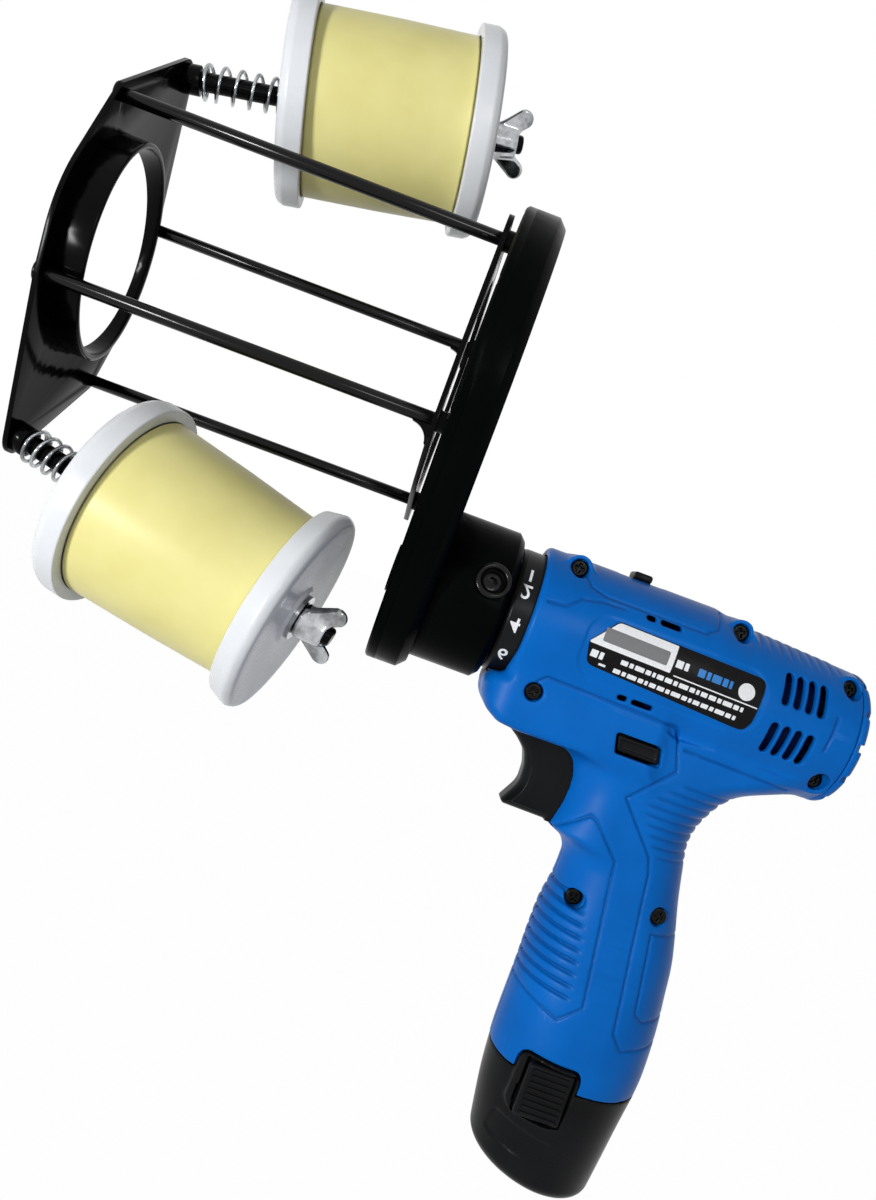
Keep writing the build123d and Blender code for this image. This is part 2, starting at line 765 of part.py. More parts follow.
def selector_window():
    # a leaning recess round each end of the direction bar
    high = selector_height / 2 + window_margin
    wide = selector_length / 2 + window_lean
    near = wide - 2 * window_lean
    corners = [(-wide, high), (near, high), (wide, -high), (-near, -high)]
    return Pos(selector_x, selector_z) * Polygon(*corners, align=None)


def screw_bosses():
    # round pillars round the barrel screws, which show along its upper and lower edges
    bosses = []
    for (x, z), depth, has_boss in zip(screw_places, screw_depths, screw_has_boss):
        if has_boss:
            pillar = Cylinder(screw_boss_radius, 2 * (depth + screw_boss_rise))
            pillar = Pos(x, 0, z) * Rot(90, 0, 0) * pillar
            reach = barrel_rear - x
            bosses.append(pillar & Pos(x, 0, z) * Box(2 * reach, 100, 20))
    return bosses


def drill_housing():
    body = housing_solid()
    for boss in screw_bosses():
        body += boss
    for room in drill_interior():
        body -= room
    for sketch in side_cuts():
        body -= cheek(sketch, opening_floor, outside_half)
    arch = Pos(latch_x, latch_top) * RectangleRounded(arch_width, 2 * arch_height, arch_corner)
    body -= cheek(Pos(0, arch_rise - arch_height) * arch, arch_floor, outside_half)
    body -= cheek(selector_window(), nose_block_half - window_depth, outside_half)
    body -= Pos(selector_x, 0, selector_z) * Box(selector_length + 2 * slide_gap, 2 * outside_half,
                                                 selector_height + 2 * slide_gap)
    slider_room = Box(speed_length + 2 * (speed_travel + slide_gap), speed_foot_width + 2 * slide_gap, 12)
    body -= Pos(speed_x, 0, spindle_z + gearbox_radius + 1.5) * slider_room
    for (x, z), depth in zip(screw_places, screw_depths):
        body -= Pos(x, -depth, z) * Rot(90, 0, 0) * Cylinder(screw_well_radius, 40, align=AXIAL)
    return body


def housing_screw(x, z, depth):
    head = Pos(x, -depth, z) * Rot(90, 0, 0) * Cylinder(screw_head_radius, screw_head_height, align=AXIAL)
    arm = Box(1.2 * screw_head_radius, cross_depth, cross_width)
    return head - Pos(x, -depth - screw_head_height, z) * (arm + Rot(0, 90, 0) * arm)


def rear_cap():
    # a domed cap with a notched rim
    low = spindle_z - barrel_drop - 0.3
    end = barrel_rear + rear_cap_depth
    rings = [Plane.YZ.offset(barrel_rear + depth) * disc(barrel_rear_radius - shrink, 0, low)
             for depth, shrink in cap_steps]
    cap = loft(rings, ruled=True)
    hollow = barrel_rear_radius - cap_steps[-1][1] - shell_wall
    cap -= rod_x(hollow, barrel_rear - 1, end - shell_wall, 0, low)
    reach = barrel_rear_radius - cap_steps[-2][1]
    notch = Pos(end, 0, reach) * Box(2 * cap_notch_depth, cap_notch_width, 2 * cap_notch_depth)
    for index in range(cap_notches):
        cap -= Pos(0, 0, low) * Rot((index + 0.5) * 360 / cap_notches, 0, 0) * notch
    return cap


def label_plate():
    outline = RectangleRounded(label_length, label_height, 6.0)
    blank = Pos(barrel_front + 45.4, -24, spindle_z - 0.9) * extrude(Plane.XZ * outline, amount=9, both=True)
    return (blank & barrel(label_gauge)) - barrel()


def direction_selector():
    reach = nose_block_half - 0.6
    bar = Pos(selector_x, 0, selector_z) * Box(selector_length, 2 * reach, selector_height)
    ends = bar.edges().filter_by(Axis.Z)
    return chamfer(ends, 0.6)


def speed_selector():
    top = spindle_z + barrel_front_radius
    knob = Pos(speed_x, 0, top + speed_height / 2 + 0.15) * Box(speed_length, speed_width, speed_height)
    ridge = knob.edges().group_by(Axis.Z)[-1]
    knob = chamfer(ridge, 0.5)
    foot_bottom = spindle_z + gearbox_radius + slide_gap
    foot = Box(speed_length, speed_foot_width, top - foot_bottom + 1, align=AXIAL)
    return knob + Pos(speed_x, 0, foot_bottom) * foot


def torque_collar():
    rear = collar_front + collar_length
    ring = tube_x(collar_radius, nose_radius + slide_gap, collar_front, rear, 0, spindle_z)
    rims = ring.edges().filter_by(GeomType.CIRCLE).sort_by(SortBy.RADIUS)[-2:]
    return chamfer(rims, 0.6)


def gearbox_case():
    nose_front = sleeve_rear - sleeve_seat_length + seat_gap
    case = rod_x(nose_radius, nose_front, barrel_front + 3, 0, spindle_z)
    case += rod_x(gearbox_radius, barrel_front + 2.0 + seat_gap, gearbox_rear, 0, spindle_z)
    return case - rod_x(spindle_shaft_radius + slide_gap, nose_front - 1, gearbox_rear - 11, 0, spindle_z)


def motor():
    can = rod_x(motor_radius, motor_front, motor_front + motor_length, 0, motor_z)
    can = chamfer(can.edges().filter_by(GeomType.CIRCLE), 1.2)
    return can + rod_x(6.0, motor_front + motor_length, motor_front + motor_length + 4, 0, motor_z)


def switch_module():
    block = Box(switch_length, switch_width, switch_height, align=(Align.MIN, Align.CENTER, Align.CENTER))
    block = Pos(switch_front, 0, trigger_mid_z) * block
    bore_end = switch_front + 2 * trigger_travel
    bore = rod_x(trigger_stem_radius + slide_gap, switch_front - 1, bore_end, 0, trigger_mid_z)
    return block - bore


# ---- battery ----------------------------------------------------------------
def cell_places():
    spread = stem_x - stem_flat / 2 + cell_shift
    return [(spread, cell_radius), (spread, -cell_radius), (spread + cell_radius * sqrt(3), 0)]


cell_slope = (battery_floor_rear - battery_floor_front) / (base_right - base_left)
cell_foot = battery_floor_front + cell_slope * (stem_x - stem_half - base_left) + cell_floor
latch_back = battery_stations[0][3] - 2.6      # inner face of a latch plate


def battery_case():
    block = stacked(battery_stations)
    block -= below_line(battery_floor_front, battery_floor_rear, 60)
    block &= below_line(base_front - slide_gap, base_rear - slide_gap, 80)
    floor_edges = block.faces().sort_by(Axis.Z)[0].edges()
    block = chamfer(floor_edges, floor_edge)
    stem = Pos(stem_x, 0, base_rear - 6) * extrude(SlotOverall(stem_flat + 2 * stem_half, 2 * stem_half),
                                                   amount=stem_top - base_rear + 6)
    top_rim = stem.edges().group_by(Axis.Z)[-1]
    stem = chamfer(top_rim, 1.6)
    block += stem
    ear = RectangleRounded(arch_width - 2 * slide_gap, 2 * (arch_height - arch_rise - 0.2),
                           arch_corner - slide_gap)
    ear = Pos(latch_x, base_front) * ear
    shoulder = stacked([grip_stations[-2], grip_stations[-1], battery_stations[1]], ear_sink)
    block += cheek(ear, arch_floor + 2 * slide_gap, outside_half) & shoulder
    pocket_floor = latch_back - latch_press - slide_gap
    pocket = Box(latch_width + 2 * slide_gap, 20, latch_height + 2 * slide_gap)
    for sign in (-1, 1):
        block -= Pos(latch_x, sign * (pocket_floor + 10), latch_top - latch_height / 2) * pocket
    for x, y in cell_places():
        block -= Pos(x, y, cell_foot) * Cylinder(cell_radius + seat_gap, cell_length + 0.4, align=AXIAL)
    return block


def battery_latch(sign):
    half = battery_stations[0][3]
    gauge = half - latch_sink - latch_back
    plate = Pos(latch_x, sign * (latch_back + gauge / 2), latch_top - latch_height / 2)
    plate = plate * Box(latch_width, gauge, latch_height)
    pad = Box(latch_width - pad_margin, 3 * latch_sink, latch_height - pad_margin)
    latch = plate + Pos(latch_x, sign * half, latch_top - latch_height / 2) * pad
    for index in range(latch_ribs):
        z = latch_top - latch_height / 2 + (index - (latch_ribs - 1) / 2) * latch_rib_pitch
        rib = Box(latch_width - 1.5 * pad_margin, 4 * latch_sink, latch_rib_pitch / 2)
        latch += Pos(latch_x, sign * (half + latch_sink), z) * rib
    return latch


def contact_rows():
    return (-contact_spread, 0.0, contact_spread)


def battery_contacts():
    blade = Box(contact_width, contact_gauge, contact_height, align=AXIAL)
    return [Pos(stem_x, y, stem_top) * blade for y in contact_rows()]


def terminal_block():
    base = stem_top + terminal_rise
    width = 2 * (contact_spread + terminal_rise)
    start = stem_x - contact_width / 2 - terminal_rise
    block = Pos(start, 0, base) * Box(terminal_length, width, terminal_height,
                                      align=(Align.MIN, Align.CENTER, Align.MIN))
    slit = Box(contact_width + 2 * contact_gauge, 2 * contact_gauge, contact_height + 1, align=AXIAL)
    for y in contact_rows():
        block -= Pos(stem_x, y, base - 1) * slit
    return block


def save_drill():
    housing = drill_housing()
    near_side = Pos(100, -100, -150) * Box(400, 200, 500)
    far_side = Pos(100, 100, -150) * Box(400, 200, 500)
    save("drill_housing_left", housing & near_side)
    save("drill_housing_right", housing & far_side)
    screws = [housing_screw(x, z, depth) for (x, z), depth in zip(screw_places, screw_depths)]
    save("housing_screws", *screws)
    save("rear_cap", rear_cap())
    save("label_plate", label_plate())
    save("direction_selector", direction_selector())
    save("speed_selector", speed_selector())
    save("torque_collar", torque_collar())
    save("gearbox_case", gearbox_case())
    save("motor", motor())
    save("switch_module", switch_module())
    save("trigger", trigger())
    save("battery_case", battery_case())
    save("battery_cells", *[Pos(x, y, cell_foot + 0.2) * Cylinder(cell_radius, cell_length, align=AXIAL)
                            for x, y in cell_places()])
    save("battery_latch_left", battery_latch(-1))
    save("battery_latch_right", battery_latch(1))
    save("battery_contacts", *battery_contacts())
    save("terminal_block", terminal_block())


def save_cage():
    save("far_plate", far_plate())
    save("ring_collar", ring_collar())
    save("near_plate", near_plate())
    for number, (y, z) in enumerate(rod_places, 1):
        save(f"guide_rod_{number}", guide_rod(y, z))
    save("rod_end_screws", *[rod_screw(y, z) for y, z in rod_places])
    save("rod_spacers", *[rod_spacer(y, z) for y, z in rod_places])


os.makedirs("parts", exist_ok=True)
save_cage()
save_spools()
save_head()
save_drill()
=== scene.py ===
# Looks of a two-spool tape wrapping head on a pistol-grip drill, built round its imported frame.
import itertools
import json
import math

import bpy
import bmesh
import numpy as np
import openvdb
from mathutils import Matrix, Vector

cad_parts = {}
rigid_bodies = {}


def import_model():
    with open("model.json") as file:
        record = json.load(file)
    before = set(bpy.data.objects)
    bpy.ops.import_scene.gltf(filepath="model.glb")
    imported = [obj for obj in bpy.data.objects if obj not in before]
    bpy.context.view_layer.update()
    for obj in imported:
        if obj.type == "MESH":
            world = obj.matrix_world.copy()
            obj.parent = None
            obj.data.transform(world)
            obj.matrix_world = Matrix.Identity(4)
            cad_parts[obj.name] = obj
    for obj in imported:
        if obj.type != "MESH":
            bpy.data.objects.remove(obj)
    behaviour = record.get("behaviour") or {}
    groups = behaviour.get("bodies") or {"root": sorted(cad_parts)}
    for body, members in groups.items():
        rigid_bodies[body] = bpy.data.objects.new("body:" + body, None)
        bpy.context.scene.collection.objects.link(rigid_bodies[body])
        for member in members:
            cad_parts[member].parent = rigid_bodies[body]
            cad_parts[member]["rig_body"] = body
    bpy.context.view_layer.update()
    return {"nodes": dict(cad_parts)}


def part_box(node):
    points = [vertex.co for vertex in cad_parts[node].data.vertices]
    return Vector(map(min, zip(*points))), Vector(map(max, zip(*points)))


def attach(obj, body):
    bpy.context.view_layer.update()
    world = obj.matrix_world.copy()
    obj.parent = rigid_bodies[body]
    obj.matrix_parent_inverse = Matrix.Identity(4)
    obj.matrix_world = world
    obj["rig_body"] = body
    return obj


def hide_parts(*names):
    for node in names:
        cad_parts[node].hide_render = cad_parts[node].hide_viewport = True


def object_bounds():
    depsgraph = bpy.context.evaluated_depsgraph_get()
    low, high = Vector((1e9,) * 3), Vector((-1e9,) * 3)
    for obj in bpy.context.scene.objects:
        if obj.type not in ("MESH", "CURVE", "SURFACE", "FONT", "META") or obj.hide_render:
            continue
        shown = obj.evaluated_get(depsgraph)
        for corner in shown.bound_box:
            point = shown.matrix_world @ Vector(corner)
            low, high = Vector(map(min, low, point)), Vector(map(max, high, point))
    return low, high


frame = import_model()
print("frame loaded:", len(frame["nodes"]), "nodes")

mm = 0.001


def span(node):
    # the lowest and highest corner of a CAD node, in millimetres
    return [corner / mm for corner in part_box(node)]


def middleOf(node):
    low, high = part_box(node)
    return (low + high) / 2 / mm


places = {  # stations that the pieces below are set out from, in millimetres
    "spindleZ": sum(corner.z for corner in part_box("torque_collar")) / 2 / mm,
    "collarRadius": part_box("torque_collar")[1].y / mm,
    "barrelFront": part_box("torque_collar")[1].x / mm + 0.3,
    "barrelRear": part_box("rear_cap")[0].x / mm,
    "capEnd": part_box("rear_cap")[1].x / mm,
    "batteryTop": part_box("battery_case")[1].z / mm,
}


class Wire:
    # one shader socket, which adds its own nodes when it is reckoned with
    def __init__(self, tree, socket):
        self.tree = tree
        self.socket = socket

    def node(self, kind, settings=None, values=None, output=0):
        made = self.tree.nodes.new(kind)
        for key, value in (settings or {}).items():
            if key == "stops":
                self.setStops(made.color_ramp, value)
            else:
                setattr(made, key, value)
        for key, value in (values or {}).items():
            if isinstance(value, Wire):
                self.tree.links.new(value.socket, made.inputs[key])
            else:
                made.inputs[key].default_value = value
        return Wire(self.tree, made.outputs[output])

    def setStops(self, ramp, stops):
        while len(ramp.elements) < len(stops):
            ramp.elements.new(1.0)
        for element, (position, grey) in zip(ramp.elements, stops):
            element.position = position
            element.color = (grey, grey, grey, 1) if isinstance(grey, (int, float)) else (*grey, 1)

    def reckon(self, operation, first, second):
        return self.node("ShaderNodeMath", {"operation": operation}, {0: first, 1: second})

    def __add__(self, other):
        return self.reckon("ADD", self, other)

    def __radd__(self, other):
        return self.reckon("ADD", other, self)

    def __sub__(self, other):
        return self.reckon("SUBTRACT", self, other)

    def __rsub__(self, other):
        return self.reckon("SUBTRACT", other, self)

    def __mul__(self, other):
        return self.reckon("MULTIPLY", self, other)

    def __rmul__(self, other):
        return self.reckon("MULTIPLY", other, self)

    def noise(self, scale, detail=3.0, roughness=0.5, stretch=(1, 1, 1)):
        placed = self.node("ShaderNodeMapping", None, {"Vector": self, "Scale": stretch})
        return placed.node("ShaderNodeTexNoise", None,
                           {"Vector": placed, "Scale": scale, "Detail": detail, "Roughness": roughness})

    def blend(self, low, high):
        # a colour between two, by this mask
        return self.node("ShaderNodeMix", {"data_type": "RGBA"}, {0: self, 6: (*low, 1), 7: (*high, 1)}, 2)

    def over(self, under, colour):
        # this mask's share of one more colour over another wire
        return self.node("ShaderNodeMix", {"data_type": "RGBA"}, {0: self, 6: under, 7: (*colour, 1)}, 2)

    def spread(self, low, high, fromLow=0.3, fromHigh=0.7):
        return self.node("ShaderNodeMapRange", None,
                         {"Value": self, "From Min": fromLow, "From Max": fromHigh, "To Min": low, "To Max": high})

    def bump(self, depth, strength):
        return self.node("ShaderNodeBump", None, {"Height": self, "Distance": depth, "Strength": strength})


def linear(red, green, blue):
    return tuple((c / 255 / 12.92) if c < 10.3 else ((c / 255 + 0.055) / 1.055) ** 2.4 for c in (red, green, blue))


bodyOf = {name: node["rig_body"] for name, node in frame["nodes"].items()}


def newMaterial(name, fixed):
    # a principled surface, with its even values set on its own sockets
    material = bpy.data.materials.new(name)
    material.use_nodes = True
    tree = material.node_tree
    surface = tree.nodes["Principled BSDF"]
    for key, value in fixed.items():
        surface.inputs[key].default_value = value
    here = Wire(tree, tree.nodes.new("ShaderNodeTexCoord").outputs["Object"])
    return material, here, surface


def feed(here, surface, links):
    for key, wire in links.items():
        here.tree.links.new(wire.socket, surface.inputs[key])


finish = {
    "blueMould": {"light": linear(4, 105, 196), "dark": linear(3, 97, 184), "rough": (0.30, 0.42)},
    "blackMould": {"light": linear(22, 23, 25), "dark": linear(13, 14, 15), "rough": (0.26, 0.40)},
    "enamel": {"light": linear(7, 7, 8), "dark": linear(3, 3, 4), "rough": (0.12, 0.22)},
    "casting": {"light": linear(5, 6, 6), "dark": linear(2, 3, 3), "rough": (0.20, 0.34)},
    "chrome": {"light": (0.52, 0.53, 0.55), "dark": (0.20, 0.205, 0.21), "rough": (0.06, 0.18)},
    "steel": {"light": (0.40, 0.40, 0.41), "dark": (0.26, 0.26, 0.27), "rough": (0.26, 0.42)},
    "white": {"light": linear(226, 229, 233), "dark": linear(216, 219, 223), "rough": (0.22, 0.34)},
    "tape": {"light": linear(230, 223, 153), "dark": linear(222, 214, 140), "rough": (0.30, 0.42)},
}


def mouldedPlastic(name, colours, grain, specular):
    # injection-moulded plastic: fine spark texture, slight flow mottling, handled patches, and painted shade with
    # some grime where the mesh marks its recessed lines and ribs
    material, here, surface = newMaterial(name, {"Specular IOR Level": specular})
    mottle = here.noise(55.0, 4.0)
    spark = here.noise(2600.0, 2.0)
    handled = here.noise(24.0, 2.0, 0.6)
    shade = mottle.spread(0, 1).blend(colours["dark"], colours["light"])
    # painted shade: marked recesses are darkened towards a third of the dark colour, standing for shade in them
    # together with some grime
    groove = here.node("ShaderNodeAttribute", {"attribute_name": "groove"}, None, "Fac")
    feed(here, surface, {
        "Base Color": groove.over(shade, tuple(c * 0.3 for c in colours["dark"])),
        "Roughness": handled.spread(*colours["rough"]) + spark.spread(-0.03, 0.03),
        "Normal": spark.bump(grain, 0.55),
    })
    return material


def paintedMetal(name, colours, peel, specular):
    # stoved paint: orange peel, faint dust in the hollows of the peel, small gloss changes
    material, here, surface = newMaterial(name, {"Specular IOR Level": specular})
    dust = here.noise(900.0, 3.0, 0.7)
    patch = here.noise(38.0, 3.0)
    skin = here.noise(420.0, 2.0)
    speck = dust.spread(0, 1, 0.66, 0.76)
    feed(here, surface, {
        "Base Color": (patch.spread(0, 0.7) + speck * 0.3).blend(colours["dark"], colours["light"]),
        "Roughness": patch.spread(*colours["rough"]) + speck * 0.12,
        "Normal": skin.bump(peel, 0.5),
    })
    return material


def brightMetal(name, colours, stretch=(1, 1, 1)):
    # clean metal: brush marks along the stretch, faint tarnish
    material, here, surface = newMaterial(name, {"Metallic": 1.0})
    tarnish = here.noise(150.0, 4.0, 0.6)
    brushed = here.noise(260.0, 3.0, 0.5, stretch)
    feed(here, surface, {
        "Base Color": tarnish.spread(0, 1, 0.35, 0.6).blend(colours["dark"], colours["light"]),
        "Roughness": brushed.spread(*colours["rough"]) + tarnish.spread(0.08, 0.0),
        "Normal": brushed.bump(0.00002, 0.4),
    })
    return material


def plainMaterial(name, colour, rough, metallic=0.0, scale=300.0, specular=0.5):
    material, here, surface = newMaterial(name, {"Metallic": metallic, "Specular IOR Level": specular})
    grain = here.noise(scale, 3.0)
    low = tuple(c * 0.85 for c in colour)
    feed(here, surface, {
        "Base Color": grain.spread(0, 1).blend(low, colour),
        "Roughness": grain.spread(rough * 0.85, rough * 1.15),
        "Normal": grain.bump(0.00002, 0.4),
    })
    return material


paint = {
    "blue": mouldedPlastic("blueHousing", finish["blueMould"], 0.00003, 0.09),
    "black": mouldedPlastic("blackPlastic", finish["blackMould"], 0.00003, 0.07),
    "collar": mouldedPlastic("blackCollar", finish["blackMould"], 0.00003, 0.1),
    "white": mouldedPlastic("whiteFlange", finish["white"], 0.00001, 0.3),
    "enamel": paintedMetal("blackEnamel", finish["enamel"], 0.00001, 0.055),
    "rod": paintedMetal("glossRod", finish["enamel"], 0.00001, 0.2),
    "casting": paintedMetal("blackCasting", finish["casting"], 0.00004, 0.018),
    "screw": paintedMetal("blackenedScrew", finish["casting"], 0.00002, 0.12),
    "chrome": brightMetal("brightSteel", finish["chrome"]),
    "steel": brightMetal("gearSteel", finish["steel"], (1, 6, 6)),
    "bronze": plainMaterial("bronzeBush", (0.55, 0.36, 0.16), 0.35, 1.0),
    "core": plainMaterial("pressedCard", (0.42, 0.36, 0.28), 0.8),
    "contact": plainMaterial("platedContact", (0.78, 0.64, 0.32), 0.25, 1.0),
    "cell": plainMaterial("cellWrap", (0.06, 0.28, 0.14), 0.3),
    "ink": plainMaterial("whiteInk", linear(242, 244, 247), 0.5, 0.0, 2200.0),
    "tape": mouldedPlastic("yellowTape", finish["tape"], 0.00001, 0.18),
    "greyInk": plainMaterial("greyInk", linear(112, 114, 116), 0.5, 0.0, 2200.0),
    "film": plainMaterial("labelBlack", linear(12, 12, 14), 0.3, 0.0, 2200.0, 0.1),
    # painted shade: a dark navy for the motor, standing for the shade seen down the vent slots
    "ventShade": plainMaterial("motorVentShade", linear(6, 30, 84), 0.6, 0.0, 300.0, 0.1),
    "stripe": plainMaterial("labelBlue", linear(10, 120, 200), 0.4),
}
print("finishes made:", len(paint))


def smoothUnion(a, b, blend):
    share = np.clip(0.5 + 0.5 * (b - a) / blend, 0, 1)
    return b + (a - b) * share - blend * share * (1 - share)


def smoothCut(body, tool, blend):
    # takes the tool's space away from the body, with a rounded edge
    return -smoothUnion(-body, tool, blend)


def ease(value, low, high):
    t = np.clip((value - low) / (high - low), 0, 1)
    return t * t * (3 - 2 * t)


def curveThrough(points, at):
    # a smooth curve through (key, value) points that doesn't overshoot
    keys, values = np.array(points, float).T
    steps = np.diff(keys)
    slopes = np.diff(values) / steps
    tangents = np.concatenate([[slopes[0]], (slopes[:-1] + slopes[1:]) / 2, [slopes[-1]]])
    turning = np.concatenate([[False], slopes[:-1] * slopes[1:] <= 0, [False]])
    tangents = np.where(turning, 0, tangents)
    held = np.clip(at, keys[0], keys[-1])
    i = np.clip(np.searchsorted(keys, held) - 1, 0, len(steps) - 1)
    t = (held - keys[i]) / steps[i]
    start = values[i] * (1 + 2 * t) * (1 - t) ** 2 + tangents[i] * steps[i] * t * (1 - t) ** 2
    return start + values[i + 1] * t * t * (3 - 2 * t) + tangents[i + 1] * steps[i] * t * t * (t - 1)


def lineDistance(points, x, z):
    # distance in the side view from a line of points
    nearest = np.full(np.broadcast(x, z).shape, 1e6)
    for (ax, az), (bx, bz) in zip(points, points[1:]):
        ex, ez = bx - ax, bz - az
        t = np.clip(((x - ax) * ex + (z - az) * ez) / (ex * ex + ez * ez), 0, 1)
        nearest = np.minimum(nearest, (x - ax - ex * t) ** 2 + (z - az - ez * t) ** 2)
    return np.sqrt(nearest)


def outlineDistance(points, x, z):
    # the same from a closed outline, negative inside it
    inside = np.zeros(np.broadcast(x, z).shape, bool)
    for (ax, az), (bx, bz) in zip(points, points[1:] + points[:1]):
        if az != bz:
            inside ^= ((az > z) != (bz > z)) & (x < (bx - ax) * (z - az) / (bz - az) + ax)
    return np.where(inside, -1, 1) * lineDistance(points + points[:1], x, z)


def rounded(distances, soft):
    # the space inside every one of these distances, with its meeting edges rounded
    reach = [distance + soft for distance in distances]
    outside = sum(np.maximum(r, 0) ** 2 for r in reach)
    inside = reach[0]
    for r in reach[1:]:
        inside = np.maximum(inside, r)
    return np.sqrt(outside) + np.minimum(inside, 0) - soft


def within(*distances):
    inside = distances[0]
    for distance in distances[1:]:
        inside = np.maximum(inside, distance)
    return inside


def slotDistance(x, z, middle, length, width, turn):
    # a round-ended slot in the side view, turned from upright
    reach = (length - width) / 2
    lean = (math.sin(turn) * reach, math.cos(turn) * reach)
    ends = [(middle[0] - lean[0], middle[1] - lean[1]), (middle[0] + lean[0], middle[1] + lean[1])]
    return lineDistance(ends, x, z) - width / 2


def gridOver(low, high, step):
    axes = [np.arange(a - 2 * step, b + 2.5 * step, step, dtype=np.float32) for a, b in zip(low, high)]
    return axes[0][:, None, None], axes[1][None, :, None], axes[2][None, None, :]


def newObject(name, data):
    made = bpy.data.objects.new(name, data)
    bpy.context.scene.collection.objects.link(made)
    return made


def evaluated(work):
    # the mesh that an object's modifiers leave, after which the object is taken away
    bpy.context.view_layer.update()
    made = bpy.data.meshes.new_from_object(work.evaluated_get(bpy.context.evaluated_depsgraph_get()))
    bpy.data.objects.remove(work)
    return made


def smoothShaded(mesh, angle=42):
    for polygon in mesh.polygons:
        polygon.use_smooth = True
    mesh.set_sharp_from_angle(angle=math.radians(angle))
    return mesh


def meshOf(name, shell, outward=False):
    # the mesh of a shell, with its faces turned outwards where asked
    if outward:
        bmesh.ops.recalc_face_normals(shell, faces=shell.faces)
        if shell.calc_volume(signed=True) < 0:
            bmesh.ops.reverse_faces(shell, faces=shell.faces)
    mesh = bpy.data.meshes.new(name)
    shell.to_mesh(mesh)
    shell.free()
    return mesh


def meshFromField(name, field, grid, step, keep=1.0):
    # skins the zero level of a grid of distances, then thins its flat stretches
    reach = step * 4
    volume = openvdb.FloatGrid(reach)
    volume.copyFromArray(np.ascontiguousarray(np.clip(field, -reach, reach), dtype=np.float32))
    points, triangles, quads = volume.convertToPolygons(isovalue=0.0, adaptivity=0.0)
    corner = np.array([axis.flat[0] for axis in grid], float)
    mesh = bpy.data.meshes.new(name)
    faces = quads[:, ::-1].tolist() + triangles[:, ::-1].tolist()
    mesh.from_pydata(((points * step + corner) * mm).tolist(), [], faces)
    if keep < 1:
        work = newObject(name, mesh)
        thin = work.modifiers.new("thin", "DECIMATE")
        thin.ratio = keep
        mesh = evaluated(work)
    shell = bmesh.new()
    shell.from_mesh(mesh)
    bmesh.ops.dissolve_degenerate(shell, dist=1e-7, edges=shell.edges)
    return smoothShaded(meshOf(name, shell, True))


def detail(name, mesh, material, node):
    # a finished piece that rides with a node's body, and hides nothing
    piece = newObject(name, mesh)
    mesh.name = name
    mesh.materials.clear()
    mesh.materials.append(paint[material])
    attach(piece, bodyOf[node])
    return piece


def place(name, mesh, material, node):
    # the same, in place of the node
    piece = detail(name, mesh, material, node)
    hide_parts(node)
    return piece


def softCorners(profile, steps=6):
    # a closed outline of (radius, along, rounding), each corner turned into an arc
    points = []
    for index, (radius, along, rounding) in enumerate(profile):
        corner = Vector((radius, along))
        before = Vector(profile[index - 1][:2]) - corner
        after = Vector(profile[(index + 1) % len(profile)][:2]) - corner
        if rounding <= 0:
            points.append(corner)
            continue
        half = before.angle(after) / 2
        reach = min(rounding / math.tan(half), before.length * 0.49, after.length * 0.49)
        first, last = corner + before.normalized() * reach, corner + after.normalized() * reach
        for step in range(steps + 1):
            t = step / steps
            points.append(first * (1 - t) ** 2 + corner * 2 * t * (1 - t) + last * t * t)
    return points


def spun(name, profile, at, segments=160, steps=6):
    # a closed outline turned about the local Z axis, in millimetres
    outline = softCorners(profile, steps)
    shell = bmesh.new()
    rings = []
    for index in range(segments):
        turn = 2 * math.pi * index / segments
        spoke = Vector((math.cos(turn), math.sin(turn)))
        rings.append([shell.verts.new((point.x * spoke.x * mm, point.x * spoke.y * mm, point.y * mm))
                      for point in outline])
    for index in range(segments):
        here, there = rings[index], rings[(index + 1) % segments]
        for low in range(len(outline)):
            high = (low + 1) % len(outline)
            shell.faces.new((here[low], there[low], there[high], here[high]))
    bmesh.ops.remove_doubles(shell, verts=shell.verts, dist=1e-7)
    mesh = meshOf(name, shell, True)
    mesh.transform(at)
    return smoothShaded(mesh, 38)


def alongX(x, y, z):
    # local Z lies along the cage axis, from this point in millimetres
    return Matrix.Translation(Vector((x, y, z)) * mm) @ Matrix.Rotation(math.pi / 2, 4, "Y")


def shellOf(node):
    # a CAD node's mesh with its doubled corners joined
    shell = bmesh.new()
    shell.from_mesh(frame["nodes"][node].data)
    bmesh.ops.remove_doubles(shell, verts=shell.verts, dist=2e-6)
    return shell


def softened(name, node, width, material, segments=3):
    # a copy of a CAD node with its machined edges broken
    shell = shellOf(node)
    bmesh.ops.dissolve_limit(shell, angle_limit=math.radians(0.5), verts=shell.verts, edges=shell.edges)
    mesh = meshOf(name, shell)
    for polygon in mesh.polygons:
        polygon.use_smooth = True
    work = newObject(name, mesh)
    edge = work.modifiers.new("edge", "BEVEL")
    edge.width = width * mm
    edge.segments = segments
    edge.limit_method = "ANGLE"
    edge.angle_limit = math.radians(30)
    edge.harden_normals = True
    made = evaluated(work)
    made.set_sharp_from_angle(angle=math.radians(50))
    return place(name, made, material, node)


def newTree(name, inputs):
    # an empty geometry tree with named inputs for what it makes
    tree = bpy.data.node_groups.new(name, "GeometryNodeTree")
    tree.interface.new_socket("Geometry", in_out="INPUT", socket_type="NodeSocketGeometry")
    for label, kind in inputs.items():
        tree.interface.new_socket(label, in_out="INPUT", socket_type="NodeSocket" + kind)
    tree.interface.new_socket("Geometry", in_out="OUTPUT", socket_type="NodeSocketGeometry")
    given = tree.nodes.new("NodeGroupInput")
    return tree, {socket.name: Wire(tree, socket) for socket in given.outputs if socket.name}


def endTree(given, shape):
    # real geometry with its material, as the export needs
    whole = shape.node("GeometryNodeRealizeInstances", None, {"Geometry": shape})
    named = whole.node("GeometryNodeSetMaterial", None, {"Geometry": whole, "Material": given["Material"]})
    last = named.tree.nodes.new("NodeGroupOutput")
    named.tree.links.new(named.socket, last.inputs[0])


